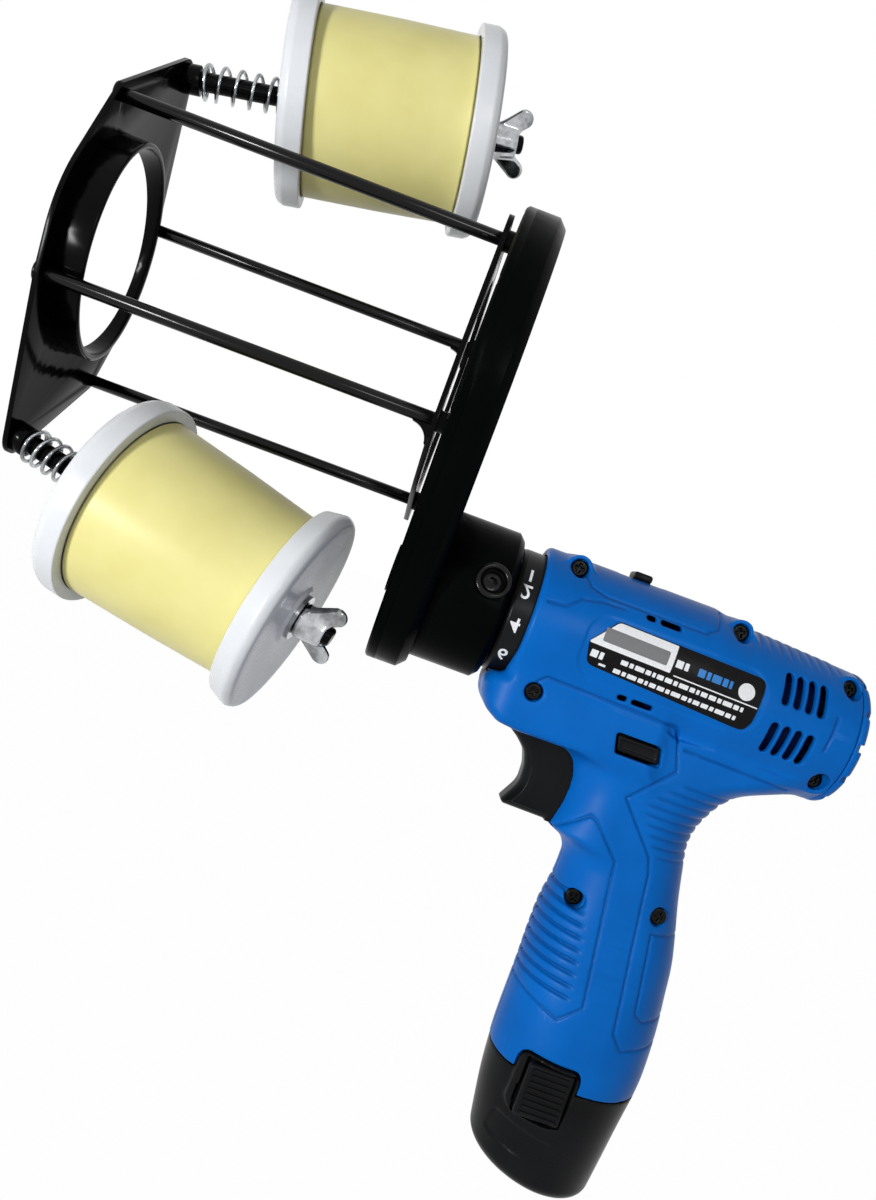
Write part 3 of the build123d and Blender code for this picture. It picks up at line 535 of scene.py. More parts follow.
def solve(name, tree, values, base=None):
    work = newObject(name, base or bpy.data.meshes.new(name))
    grown = work.modifiers.new("grown", "NODES")
    grown.node_group = tree
    for item in tree.interface.items_tree:
        if item.in_out == "INPUT" and item.name in values:
            grown[item.identifier] = values[item.name]
    return evaluated(work)


def coilTree():
    # a wire coil with closed ends, about the local Z axis
    tree, given = newTree("coilSpring", {"Turns": "Float", "Radius": "Float", "Wire": "Float", "Height": "Float",
                                         "Material": "Material"})
    turns = given["Turns"]
    spiral = turns.node("GeometryNodeCurveSpiral", None, {
        "Resolution": 48, "Rotations": turns, "Start Radius": given["Radius"], "End Radius": given["Radius"],
        "Height": 0.0})
    factor = turns.node("GeometryNodeSplineParameter")
    lift = turns.node("ShaderNodeMapRange", {"interpolation_type": "LINEAR"}, {
        "Value": factor * turns, "From Min": 0.8, "From Max": turns - 0.8, "To Min": 0.0,
        "To Max": given["Height"] - given["Wire"] * 4.0})
    closed = turns.node("ShaderNodeMapRange", None, {
        "Value": factor * turns, "From Min": 0.0, "From Max": turns, "To Min": 0.0,
        "To Max": given["Wire"] * 4.0})
    rise = turns.node("ShaderNodeCombineXYZ", None, {"Z": lift + closed})
    path = turns.node("GeometryNodeSetPosition", None, {"Geometry": spiral, "Offset": rise})
    ring = turns.node("GeometryNodeCurvePrimitiveCircle", None, {"Resolution": 12, "Radius": given["Wire"]})
    wire = turns.node("GeometryNodeCurveToMesh", None, {"Curve": path, "Profile Curve": ring, "Fill Caps": True})
    endTree(given, wire)
    return tree


def scatterTree():
    # one pattern set on every point, its Z axis turned along the point's facing
    tree, given = newTree("setOnPoints", {"Pattern": "Object", "Material": "Material"})
    pattern = given["Pattern"].node("GeometryNodeObjectInfo", {"transform_space": "ORIGINAL"},
                                    {"Object": given["Pattern"]}, "Geometry")
    facing = pattern.node("GeometryNodeInputNamedAttribute", {"data_type": "FLOAT_VECTOR"}, {"Name": "facing"})
    turned = pattern.node("FunctionNodeAlignRotationToVector", {"axis": "Z"}, {"Vector": facing})
    spin = pattern.node("GeometryNodeInputNamedAttribute", {"data_type": "FLOAT"}, {"Name": "spin"})
    about = pattern.node("ShaderNodeCombineXYZ", None, {"Z": spin})
    both = pattern.node("FunctionNodeRotateRotation", {"rotation_space": "LOCAL"},
                        {"Rotation": turned, "Rotate By": about})
    copies = pattern.node("GeometryNodeInstanceOnPoints", None,
                          {"Points": given["Geometry"], "Instance": pattern, "Rotation": both})
    endTree(given, copies)
    return tree


trees = {"coil": coilTree(), "scatter": scatterTree()}


def setOnSpots(name, patternMesh, spots, material):
    # spots are (place in millimetres, facing, spin)
    points, facings, spins = zip(*spots)
    base = bpy.data.meshes.new(name)
    base.from_pydata([Vector(point) * mm for point in points], [], [])
    facing = base.attributes.new("facing", "FLOAT_VECTOR", "POINT")
    facing.data.foreach_set("vector", np.array(facings, float).ravel())
    base.attributes.new("spin", "FLOAT", "POINT").data.foreach_set("value", spins)
    pattern = newObject(name + "Pattern", patternMesh)
    made = solve(name, trees["scatter"], {"Pattern": pattern, "Material": paint[material]}, base)
    bpy.data.objects.remove(pattern)
    return smoothShaded(made)


def joined(name, meshes):
    shell = bmesh.new()
    for mesh in meshes:
        shell.from_mesh(mesh)
    return smoothShaded(meshOf(name, shell))


def islands(node):
    # the separate solids of a CAD node, as (lowest, highest) corners in millimetres
    shell = shellOf(node)
    left, boxes = set(shell.verts), []
    while left:
        wave, group = [left.pop()], []
        while wave:
            vert = wave.pop()
            group.append(vert.co[:])
            for edge in vert.link_edges:
                other = edge.other_vert(vert)
                if other in left:
                    left.remove(other)
                    wave.append(other)
        group = np.array(group) / mm
        boxes.append((group.min(0), group.max(0)))
    shell.free()
    return sorted(boxes, key=lambda box: [round(value, 2) for value in box[0]])


def screwHead(name, radius, height, recess, depth, sides, slotWidth=0.0):
    # a round head, top at zero, with a cross or a many-sided recess
    step = 0.14
    grid = gridOver((-radius, -radius, -height), (radius, radius, 0.3), step)
    x, y, z = grid
    body = rounded([np.sqrt(x ** 2 + y ** 2) - radius, np.abs(z + height / 2) - height / 2], 0.5)
    if sides:
        hole = np.full(np.broadcast(x, y).shape, -1e6)
        for index in range(sides):
            turn = 2 * math.pi * index / sides
            hole = np.maximum(hole, x * math.cos(turn) + y * math.sin(turn) - recess)
    else:
        taper = slotWidth + (z + depth) * 0.12
        arm = np.maximum(np.abs(x) - recess, np.abs(y) - taper)
        hole = np.minimum(arm, np.maximum(np.abs(y) - recess, np.abs(x) - taper))
    body = smoothCut(body, within(hole, -depth - z), 0.12)
    return meshFromField(name, body, grid, step, 0.35)


print("tools and trees ready")


housing = {
    "step": 0.42,
    "keep": 0.27,
    "wall": 2.4,
    "reach": 25.2,
    "collarGap": 0.35,
    "seam": 0.07,
    "tongue": (1.1, 0.5),
    "barrel": [(48.8, 24.2, -64.5), (107.4, 24.2, -64.5), (118.4, 24.0, -66.6), (157.9, 22.4, -67.1)],
    "nose": [(60.0, -66.0, 0), (48.9, -66.0, 0), (48.9, -83.4, 0.5), (44.8, -84.2, 2), (42.0, -86.0, 2),
             (42.0, -88.8, 6), (43.3, -92.4, 6), (46.4, -96.2, 6), (50.8, -98.6, 6), (57.4, -99.3, 4),
             (102.0, -98.9, 0), (102.0, -66.0, 0)],
    "noseFront": 42.0,
    "noseHalf": 19.2,
    "noseRound": 12.0,
    "front": [(-206, 88.0), (-196, 87.4), (-174, 87.2), (-163, 86.9), (-152, 87.0), (-141, 88.5), (-134.5, 88.6),
              (-130.4, 87.2), (-128.2, 84.8), (-126.4, 80.8), (-124.8, 78.2), (-120.8, 79.0), (-116, 79.9),
              (-111, 80.1), (-106, 79.2), (-102, 77.2), (-99, 74.0), (-88, 70.0)],
    "rear": [(-206, 138.3), (-193, 139.3), (-177, 138.5), (-166.6, 137.2), (-156, 135.8), (-146, 133.3),
             (-136, 130.5), (-126, 128.2), (-116, 126.3), (-110, 127.2), (-104, 129.9), (-100, 132.5),
             (-95.6, 137.5), (-90.5, 148.5), (-86, 156.0)],
    "width": [(-206, 22.6), (-184, 21.9), (-165, 20.4), (-146, 18.8), (-129, 18.2), (-96, 18.0), (-84, 17.5)],
    "foot": ((80.0, -201.0), (150.0, -199.4)),
    "lineWidth": 0.7,
    "lineDepth": 0.5,
    # painted shade and grime: how strongly the moulded lines and ribs are darkened
    "grimeAndShade": 0.4,
    "lines": [
        [(58.2, -82.0), (60.6, -79.8), (104.4, -80.8), (105.8, -82.2), (109.8, -94.0), (97.6, -107.2),
         (111.2, -122.6), (113.0, -127.7), (119.4, -178.5), (123.5, -183.2), (142.0, -180.0)],
        [(109.9, -86.8), (146.0, -87.6)],
        [(76.0, -128.0), (80.8, -125.2), (89.6, -116.6), (91.6, -117.4), (101.4, -127.4), (102.0, -131.6),
         (104.4, -150.0), (107.4, -173.8), (101.0, -180.4), (80.0, -175.6)],
        [(140.0, -145.5), (120.6, -145.6), (124.2, -171.0), (127.6, -173.2), (142.0, -171.4)],
        [(62.0, -46.0), (64.0, -48.6), (69.3, -50.0), (102.8, -50.0), (106.6, -47.6), (107.6, -42.0)],
        [(52.0, -57.6), (57.9, -56.9), (62.0, -53.4), (69.0, -51.8), (76.0, -51.6)],
        [(150.2, -60.5), (149.9, -66.0), (149.3, -71.5)],
    ],
    "gripRibs": {"top": -143.0, "pitch": 3.75, "count": 9, "depth": 0.95, "width": 0.95},
    "webRibs": {"start": 97.6, "pitch": 3.05, "count": 8, "height": 0.6, "level": 0.25, "fade": 0.3},
    "topRibs": {"start": 119.0, "pitch": 3.5, "count": 9, "height": 0.5, "level": 0.4, "fade": 0.2},
    "vents": {"pitch": 4.02, "length": 10.2, "width": 2.9, "depth": 12.0, "count": 4,
              "rows": [(132.4, -57.4, 0.0), (131.8, -73.4, 1.5)]},
    "slots": [(84.6, 3.4), (91.2, 7.2)],
    "slotWidth": 1.7,
    "slotZ": (-51.5, -77.9),
    "labelRecess": {"x": (66.4, 126.0), "z": (-75.9, -55.2), "round": 7.0, "depth": 0.35},
    "screws": [(59.3, -44.1, 10.6, True), (58.2, -85.7, 17.5, False), (115.3, -45.6, 10.6, True),
               (154.4, -50.6, 11.5, True), (153.8, -81.6, 12.5, True), (94.8, -144.2, 11.0, False),
               (121.4, -139.8, 15.5, False)],
    "boss": 4.3,
    "bossRise": 1.5,
    "well": 3.1,
    "screwSink": 1.4,
    "screwHead": 1.8,
    "barGap": 0.7,
    "window": [(88.2, -89.3), (101.8, -89.3), (102.9, -93.9), (89.3, -93.9)],
    "windowRound": 1.0,
    "windowDepth": 2.2,
    "sliderRoom": (7.4, 3.4, -52.0),
    "archFloor": 15.0,
    "spindleRoom": (16.4, 62.0),
}
trigger = {
    "step": 0.33,
    "front": [(55.0, -95.6, 0), (55.6, -99.4, 1), (60.6, -102.8, 6), (64.4, -106.2, 6), (66.0, -111.0, 8),
              (66.3, -116.8, 8), (62.4, -123.9, 0.6), (63.6, -125.0, 0.6)],
    "top": -95.6,
    "bottom": -125.4,
    "round": 4.4,
    "ridge": 2.4,
    "back": 88.0,
    "travel": 6.0,
    "half": 7.0,
    "gap": 0.3,
}
battery = {
    "step": 0.5,
    "wall": 2.2,
    "front": [(-242, 93.4), (-236, 92.6), (-226, 90.9), (-212, 88.8), (-198, 87.6)],
    "rear": [(-242, 133.6), (-236, 134.7), (-226, 135.9), (-212, 137.4), (-198, 139.2)],
    "width": [(-242, 20.8), (-236, 21.4), (-226, 22.0), (-212, 22.5), (-198, 22.5)],
    "floor": ((80.0, -233.2), (150.0, -239.4)),
    "stem": {"x": 114.0, "flat": 3.5, "half": 18.0, "bottom": -226.0},
    "latch": {"x": 104.4, "z": -203.6, "wide": 19.4, "high": 20.2, "round": 3.4, "lean": 0.05, "inside": 15.4},
    "round": 4.4,
    "sign": {"x": 103.4, "z": -221.4, "half": (9.6, 4.4), "lean": (0.08, 0.1), "round": 1.4, "depth": 0.35},
    "hollow": (96.4, 132.4, 17.2),
    "pocket": (8.1, 9.1, 17.4),
}


def barrelLine(x):
    # radius and height of the barrel's middle along it
    keys, radii, heights = np.array(housing["barrel"]).T
    return np.interp(x, keys, radii), np.interp(x, keys, heights)


def barrelDistance(x, y, z):
    radius, middle = barrelLine(x)
    start, end = housing["barrel"][0][0], housing["barrel"][-1][0]
    soft = np.where(x < 100, 1.6, 0.3)
    return rounded([np.sqrt(y ** 2 + (z - middle) ** 2) - radius, np.abs(x - (start + end) / 2) - (end - start) / 2],
                   soft)


def stadium(x, y, front, rear, half):
    # distance in plan from a round-ended outline
    across = np.maximum(np.abs(x - (front + rear) / 2) - ((rear - front) / 2 - half), 0)
    return np.sqrt(across ** 2 + y ** 2) - half


def gripDistance(x, y, z):
    return stadium(x, y, curveThrough(housing["front"], z), curveThrough(housing["rear"], z),
                   curveThrough(housing["width"], z))


def slopedLine(ends, x):
    (ax, az), (bx, bz) = ends
    return az + (bz - az) * (x - ax) / (bx - ax)


def screwPillars(x, y, z, radius, onlyBosses):
    nearest = np.full(np.broadcast(x, y, z).shape, 1e3, np.float32)
    for sx, sz, depth, hasBoss in housing["screws"]:
        if hasBoss or not onlyBosses:
            post = np.sqrt((x - sx) ** 2 + (z - sz) ** 2) - radius
            nearest = np.minimum(nearest, np.maximum(post, np.abs(y) - depth - housing["bossRise"]))
    return np.maximum(nearest, x - places["barrelRear"])


def smoothLine(corners):
    return [tuple(point) for point in softCorners(corners, 4)]


def plainHousing(x, y, z):
    plan = rounded([np.abs(y) - housing["noseHalf"], housing["noseFront"] - x], housing["noseRound"])
    nose = rounded([outlineDistance(smoothLine(housing["nose"]), x, z), plan], 3.0)
    body = smoothUnion(barrelDistance(x, y, z), nose, 3.0)
    return smoothUnion(body, np.maximum(gripDistance(x, y, z), z + 85), 5.0)


def ribWaves(ribs, along):
    # a row of narrow valleys with broad ribs between them
    phase = (along - ribs["start"]) / ribs["pitch"]
    valley = (0.5 + 0.5 * np.cos(2 * np.pi * phase)) ** 3
    band = ease(phase, -ribs["fade"], 0) * (1 - ease(phase, ribs["count"], ribs["count"] + ribs["fade"]))
    return ribs["height"] * (valley - ribs["level"]) * band


def reliefOf(x, z):
    # how far the skin lies under (+) or over (-) the plain form
    relief = np.zeros(np.broadcast(x, z).shape)
    for line in housing["lines"]:
        relief = np.maximum(relief, 1 - ease(lineDistance(line, x, z), 0.15, housing["lineWidth"]))
    relief = relief * housing["lineDepth"]
    ribs = housing["gripRibs"]
    edge = curveThrough([(-180, 104.5), (-150, 100.5), (-140, 97.0)], z)
    for index in range(ribs["count"]):
        cut = 1 - ease(np.abs(z - ribs["top"] + index * ribs["pitch"]), 0.1, ribs["width"])
        relief = np.maximum(relief, ribs["depth"] * cut * (1 - ease(x, edge - 3.5, edge)))
    start = curveThrough([(-123, 113.5), (-115, 107.0), (-107, 104.0), (-97, 113.0)], z)
    relief = relief + ribWaves(housing["webRibs"], -z) * ease(x, start, start + 3)
    return relief + ribWaves(housing["topRibs"], x) * ease(z, -49.0, -46.5)


def latchFrame(x, z, grow):
    latch = battery["latch"]
    lean = (z - latch["z"]) * latch["lean"]
    return rounded([np.abs(x - latch["x"] - lean) - latch["wide"] / 2 - grow,
                    np.abs(z - latch["z"]) - latch["high"] / 2 - grow], latch["round"])


def batteryStem(x, y, z, grow):
    stem = battery["stem"]
    reach = stem["flat"] + stem["half"]
    side = stadium(x, y, stem["x"] - reach, stem["x"] + reach, stem["half"]) - grow
    return within(side, z - places["batteryTop"] - grow, stem["bottom"] - z)


def housingOpenings(x, y, z):
    # vents, slots, windows and rooms that go through the skin, as one distance
    vents = housing["vents"]
    holes = []
    for start, height, turn in vents["rows"]:
        for index in range(vents["count"]):
            holes.append(slotDistance(x, z, (start + index * vents["pitch"], height), vents["length"],
                                      vents["width"], math.radians(turn)))
    for height in housing["slotZ"]:
        for middle, length in housing["slots"]:
            holes.append(slotDistance(x, z, (middle, height), length, housing["slotWidth"], math.pi / 2))
    through = np.minimum.reduce(holes)
    openings = np.maximum(through, vents["depth"] - np.abs(y))
    window = outlineDistance(housing["window"], x, z) - housing["windowRound"]
    openings = np.minimum(openings, np.maximum(window, housing["noseHalf"] - housing["windowDepth"] - np.abs(y)))
    openings = np.minimum(openings, window + housing["barGap"] - 0.3)
    slider, (wide, deep, low) = middleOf("speed_selector"), housing["sliderRoom"]
    openings = np.minimum(openings, within(np.abs(x - slider.x) - wide, np.abs(y) - deep, low - z))
    arch = np.maximum(latchFrame(x, z, trigger["gap"]), housing["archFloor"] - np.abs(y))
    openings = np.minimum(openings, arch)
    out, (noseRadius, noseEnd) = np.sqrt(y ** 2 + (z - places["spindleZ"]) ** 2), housing["spindleRoom"]
    collarRoom = np.maximum(out - places["collarRadius"] - housing["collarGap"], x - places["barrelFront"])
    collarRoom = np.minimum(np.maximum(out - noseRadius, x - noseEnd), collarRoom)
    return np.minimum(openings, collarRoom)


def triggerRoom(x, y, z):
    front, back = trigger["front"][0][0] - 0.6, trigger["back"] + trigger["travel"] + trigger["gap"]
    middle, half = (trigger["top"] + trigger["bottom"]) / 2, (trigger["top"] - trigger["bottom"]) / 2
    return within(np.abs(x - (front + back) / 2) - (back - front) / 2,
                  np.abs(z - middle) - half - trigger["gap"], np.abs(y) - trigger["half"] - trigger["gap"])


def housingHalf(name, node, side):
    step, recess = housing["step"], housing["labelRecess"]
    near, far = (-housing["reach"], 0.0) if side < 0 else (0.0, housing["reach"])
    grid = gridOver((41.0, near, -207.0), (places["barrelRear"] + 0.5, far, -38.5), step)
    x, y, z = grid
    plain = plainHousing(x, y, z)
    posts = screwPillars(x, y, z, housing["boss"], False)
    hollow = smoothCut(plain + housing["wall"], posts, 0.6)
    body = smoothUnion(plain, screwPillars(x, y, z, housing["boss"], True), 2.0) + reliefOf(x, z)
    if side < 0:
        middle = [(recess["x"][0] + recess["x"][1]) / 2, (recess["z"][0] + recess["z"][1]) / 2]
        plate = rounded([np.abs(x - middle[0]) - (recess["x"][1] - middle[0]),
                         np.abs(z - middle[1]) - (recess["z"][1] - middle[1])], recess["round"])
        body = body + recess["depth"] * (1 - ease(plate, -0.4, 0.5))
    body = np.maximum(body, slopedLine(housing["foot"], x) - z)
    body = np.maximum(body, -hollow)
    body = smoothCut(body, housingOpenings(x, y, z), 0.45)
    if side < 0:
        for sx, sz, depth, _ in housing["screws"]:
            well = np.maximum(np.sqrt((x - sx) ** 2 + (z - sz) ** 2) - housing["well"],
                              depth - housing["screwSink"] + y)
            body = smoothCut(body, well, 0.5)
    body = np.maximum(body, -triggerRoom(x, y, z))
    body = np.maximum(body, -batteryStem(x, y, z, 0.4))
    depth, reach = housing["tongue"]
    if side < 0:
        beyond = np.maximum(-y - housing["seam"], -within(plain + depth, y - reach))
    else:
        beyond = np.minimum(y - housing["seam"], within(plain + depth - 0.1, y - reach - 0.1))
    body = smoothCut(body, beyond, 0.3)
    mesh = meshFromField(name, body, grid, step, housing["keep"])
    # painted shade: each vertex is darkened by how deep its line or rib lies, for shade in the recesses together with
    # some grime
    spots = np.empty(len(mesh.vertices) * 3)
    mesh.vertices.foreach_get("co", spots)
    vx, _, vz = (spots / mm).reshape(-1, 3).T
    recessShade = np.clip(reliefOf(vx, vz) / housing["lineDepth"], 0, 1) * housing["grimeAndShade"]
    mesh.attributes.new("groove", "FLOAT", "POINT").data.foreach_set("value", recessShade)
    place(name, mesh, "blue", node)


housingHalf("housingLeftHalf", "drill_housing_left", -1)
housingHalf("housingRightHalf", "drill_housing_right", 1)
print("housing moulded")


rearCap = {
    "step": 0.4,
    "dome": [(0.0, 0.0), (2.2, 0.25), (3.4, 1.5), (4.6, 4.0), (5.8, 6.6), (6.8, 8.5), (7.4, 10.0)],  # along, shrink
    "seam": 0.2,
    "notches": 12,
    "notchHalf": 1.25,
    "notchFrom": 1.0,
    "notchSlope": 1.95,
    "notchInside": 12.0,
}


def makeRearCap():
    # a domed end cap with a notched rim
    step = rearCap["step"]
    radius, middle = housing["barrel"][-1][1:]
    start, end = places["barrelRear"] + 0.1, places["capEnd"]
    grid = gridOver((start - 0.5, -radius - 0.5, middle - radius - 0.5),
                    (end + 0.3, radius + 0.5, middle + radius + 0.5), step)
    end = end - 0.05
    x, y, z = grid
    out = np.sqrt(y ** 2 + (z - middle) ** 2)
    reach = radius - curveThrough(rearCap["dome"], x - start)
    body = rounded([(out - reach) * 0.75, x - end], 0.8)
    body = smoothCut(body, x - start - rearCap["seam"], 0.4)
    turn = np.arctan2(z - middle, y) / (2 * math.pi) * rearCap["notches"] + 0.5
    notch = np.abs(turn % 1 - 0.5) * 2 * math.pi / rearCap["notches"] * out - rearCap["notchHalf"]
    cone = radius - rearCap["notchSlope"] * (x - start - rearCap["notchFrom"])
    body = smoothCut(body, within(notch, cone - out, rearCap["notchInside"] - out), 0.35)
    place("rearCapMoulding", meshFromField("rearCapMoulding", body, grid, step, 0.4), "blue", "rear_cap")


makeRearCap()


def makeTrigger():
    step = trigger["step"]
    behind = trigger["back"] + 6
    outline = smoothLine(trigger["front"] + [(behind, trigger["bottom"], 0), (behind, trigger["top"], 0)])
    grid = gridOver((54, -trigger["half"], -127), (trigger["back"], trigger["half"], -95), step)
    x, y, z = grid
    front = np.where(x < 78, outlineDistance(outline, x, z), -20)
    sides = np.abs(y) - trigger["half"]
    body = np.maximum(rounded([front, sides], trigger["round"]),
                      rounded([outlineDistance(outline, x, z), sides], 0.8))
    line = 1 - ease(np.abs(front + trigger["ridge"]), 0.1, 0.7)
    body = body - 0.25 * line * ease(-z, 101, 104) * ease(np.abs(y), 3.0, 5.0)
    body = np.maximum(body, x - trigger["back"])
    place("triggerMoulding", meshFromField("triggerMoulding", body, grid, step, 0.5), "black", "trigger")


makeTrigger()


def makeBattery():
    step = battery["step"]
    grid = gridOver((84, -24.6, -241), (144, 24.6, places["batteryTop"] + 0.5), step)
    x, y, z = grid
    wall = stadium(x, y, curveThrough(battery["front"], z), curveThrough(battery["rear"], z),
                   curveThrough(battery["width"], z))
    under = slopedLine(battery["floor"], x) - z
    case = rounded([wall, under], battery["round"])
    skirt = slopedLine(housing["foot"], x) - 0.35
    case = np.maximum(case, z - skirt)
    # the frame round each latch, which reaches up into the grip's arch
    side = battery["latch"]["inside"] - np.abs(y)
    ear = within(latchFrame(x, z, -0.2), side, gripDistance(x, y, z) - 0.3, skirt - 2 - z)
    case = np.minimum(case, ear)
    frameBand = np.abs(latchFrame(x, z, -1.4)) - 1.0
    raised = within(frameBand, side, np.minimum(wall, gripDistance(x, y, z)) - 0.9)
    case = smoothUnion(case, raised, 0.8)
    sign = battery["sign"]
    (halfX, halfZ), (leanX, leanZ) = sign["half"], sign["lean"]
    panel = rounded([np.abs(x - sign["x"] - (z + 220) * leanX) - halfX,
                     np.abs(z - sign["z"] + (x - 103) * leanZ) - halfZ], sign["round"])
    case = case + sign["depth"] * (1 - ease(panel, -0.5, 0.3)) * ease(np.abs(y), 8, 12)
    stem = batteryStem(x, y, z, 0.0)
    case = smoothUnion(case, stem, 0.6)
    hollow = within(stadium(x, y, *battery["hollow"]), under + battery["wall"] + 1.5,
                    z - places["batteryTop"] + 2.0, stem + 1.2)
    case = np.maximum(case, -hollow)
    button, (wide, high, deep) = middleOf("battery_latch_left"), battery["pocket"]
    pocket = within(np.abs(x - button.x) - wide, np.abs(z - button.z) - high, deep - np.abs(y))
    case = smoothCut(case, pocket, 0.35)
    place("batteryMoulding", meshFromField("batteryMoulding", case, grid, step, 0.4), "black", "battery_case")


makeBattery()
print("trigger and battery moulded")


latch = {
    "step": 0.35,
    "round": 1.2,
    "ribStep": 0.3,
    "ribs": {"count": 8, "pitch": 2.0, "half": 6.2, "radius": 0.62, "sink": 0.7, "first": -7.0},
}


def makeLatch(name, node):
    # a sprung button with a column of finger ribs
    low, high = span(node)
    middle, half = (low + high) / 2, (high - low) / 2
    side = 1 if middle.y > 0 else -1
    step, ribStep, ribs = latch["step"], latch["ribStep"], latch["ribs"]
    grid = gridOver(low - Vector((0.3, 0.3, 0.3)), high + Vector((0.3, 0.3, 0.3)), step)
    x, y, z = grid
    plate = rounded([np.abs(x - middle.x) - half.x, np.abs(y - middle.y + side * 0.35) - half.y + 0.35,
                     np.abs(z - middle.z) - half.z], latch["round"])
    plateMesh = meshFromField(name, plate, grid, step, 0.3)
    ribGrid = gridOver((-6.6, -0.8, -0.8), (6.6, 0.8, 0.8), ribStep)
    rx, ry, rz = ribGrid
    rib = rounded([np.abs(rx) - ribs["half"], np.sqrt(ry ** 2 + rz ** 2) - ribs["radius"]], 0.3)
    ribMesh = meshFromField(name + "Rib", rib, ribGrid, ribStep, 0.5)
    spots = [((0, 0, ribs["pitch"] * index), (0, 0, 1), 0.0) for index in range(ribs["count"])]
    row = setOnSpots(name, ribMesh, spots, "black")
    first = Vector((middle.x, middle.y + side * (half.y - ribs["sink"]), middle.z + ribs["first"]))
    row.transform(Matrix.Translation(first * mm))
    place(name, joined(name, [plateMesh, row]), "black", node)


makeLatch("latchButtonLeft", "battery_latch_left")
makeLatch("latchButtonRight", "battery_latch_right")


label = {  # flat layout, along the barrel and up from the label's middle
    "middle": (96.2, -65.6),
    "tilt": -1.4,
    "film": (-0.05, 0.3),
    "print": 0.36,
    "outline": [(-26.6, -6.5, 3), (22.0, -8.2, 2), (26.8, -8.2, 3), (28.2, -4.8, 2), (28.6, 9.3, 3),
                (-21.4, 9.3, 2.4), (-28.4, 0.6, 2.4)],
    "panel": [(-28.0, 0.2, 0.4), (-1.6, 0.2, 0.3), (-1.5, 9.0, 0.3), (-21.2, 9.0, 2.2), (-28.1, 0.7, 1.6)],
    "window": (-24.6, -3.4, 1.9, 6.4),
    "rule": (-0.2, 28.0, -0.3, 0.1),
    "badge": ((23.1, 3.5), 2.5),
    "titles": [(-0.7, 5.9, 2.6, 5.0, "ink"), (6.7, 20.2, 2.5, 5.0, "stripe")],
    "rows": [(-16.8, 26.0, -2.9, -1.4), (-18.0, 24.0, -6.1, -4.7), (-26.6, -19.4, -3.8, -1.5),
             (-23.0, -19.4, -5.6, -4.9)],
    "dashes": (2.3, 1.3, 3.0, 1.7, 1.0, 2.1),
    "dashGap": 0.55,
}


def onBarrel(x, z, lift):
    radius, middle = barrelLine(x)
    reach = radius - housing["labelRecess"]["depth"] + lift
    return (x * mm, -math.sqrt(max(reach ** 2 - (z - middle) ** 2, 0)) * mm, z * mm)


def barrelPatch(name, outlines, low, high):
    # thin flat shapes wrapped on the barrel, from closed outlines of (along, up, rounding)
    turn = math.radians(label["tilt"])
    shell = bmesh.new()
    for outline in outlines:
        shell.faces.new([shell.verts.new((*point, 0)) for point in softCorners(outline, 5)])
    for way, reach, step in (((1, 0, 0), 30, 2.0), ((0, 1, 0), 10, 1.0)):
        for place in np.arange(-reach, reach, step) + 0.13:
            parts = shell.verts[:] + shell.edges[:] + shell.faces[:]
            bmesh.ops.bisect_plane(shell, geom=parts, plane_co=Vector(way) * place, plane_no=way)
    grown = bmesh.ops.extrude_face_region(shell, geom=shell.faces[:])["geom"]
    raised = {part for part in grown if isinstance(part, bmesh.types.BMVert)}
    for vert in shell.verts:
        u, v = vert.co.x, vert.co.y
        x = label["middle"][0] + u * math.cos(turn) - v * math.sin(turn)
        z = label["middle"][1] + u * math.sin(turn) + v * math.cos(turn)
        vert.co = onBarrel(x, z, high if vert in raised else low)
    return smoothShaded(meshOf(name, shell, True), 30)


def block(left, right, bottom, top, rounding=0.25):
    return [(left, bottom, rounding), (right, bottom, rounding), (right, top, rounding), (left, top, rounding)]


def dashRow(left, right, bottom, top):
    # short bars of cycling lengths that fill a row
    bars = []
    for length in itertools.cycle(label["dashes"]):
        if left + length > right:
            return bars
        bars.append(block(left, left + length, bottom, top))
        left += length + label["dashGap"]


def makeLabel():
    film, ink = label["film"], label["print"]
    place("labelFilm", barrelPatch("labelFilm", [label["outline"]], *film), "film", "label_plate")
    (middleU, middleV), size = label["badge"]
    badge = [(middleU + size * 1.17 * math.cos(turn), middleV + size * 1.17 * math.sin(turn), 9)
             for turn in np.arange(8) * math.pi / 4]
    printed = [badge, block(*label["rule"], 0.1)]
    for row in label["rows"]:
        printed += dashRow(*row)
    shapes = {"labelPanel": ([label["panel"]], "ink"), "labelMarks": (printed, "ink"),
              "labelWindow": ([block(*label["window"], 0.6)], "greyInk")}
    for index, (left, right, bottom, top, material) in enumerate(label["titles"]):
        shapes["labelTitle" + str(index + 1)] = (dashRow(left, right, bottom, top), material)
    for name, (outlines, material) in shapes.items():
        lift = 0.05 if name == "labelWindow" else 0
        detail(name, barrelPatch(name, outlines, film[1] - 0.03, ink + lift), material, "label_plate")


makeLabel()


def makeHousingScrews():
    # cross-head screws, whose driving marks stand at different angles
    boxes = islands("housing_screws")
    spots = []
    for index, (low, high) in enumerate(boxes):
        mx, mz = low[0] / 2 + high[0] / 2, low[2] / 2 + high[2] / 2
        x, z, depth, _ = min(housing["screws"], key=lambda screw: math.hypot(screw[0] - mx, screw[1] - mz))
        spots.append(((x, housing["screwSink"] - depth - housing["screwHead"], z), (0, -1, 0), 0.5 + index))
    radius = (boxes[0][1][0] - boxes[0][0][0]) / 2
    head = screwHead("crossHead", radius, housing["screwHead"], 1.6, 1.2, 0, 0.38)
    made = setOnSpots("housingScrews", head, spots, "screw")
    place("housingScrews", made, "screw", "housing_screws")


makeHousingScrews()


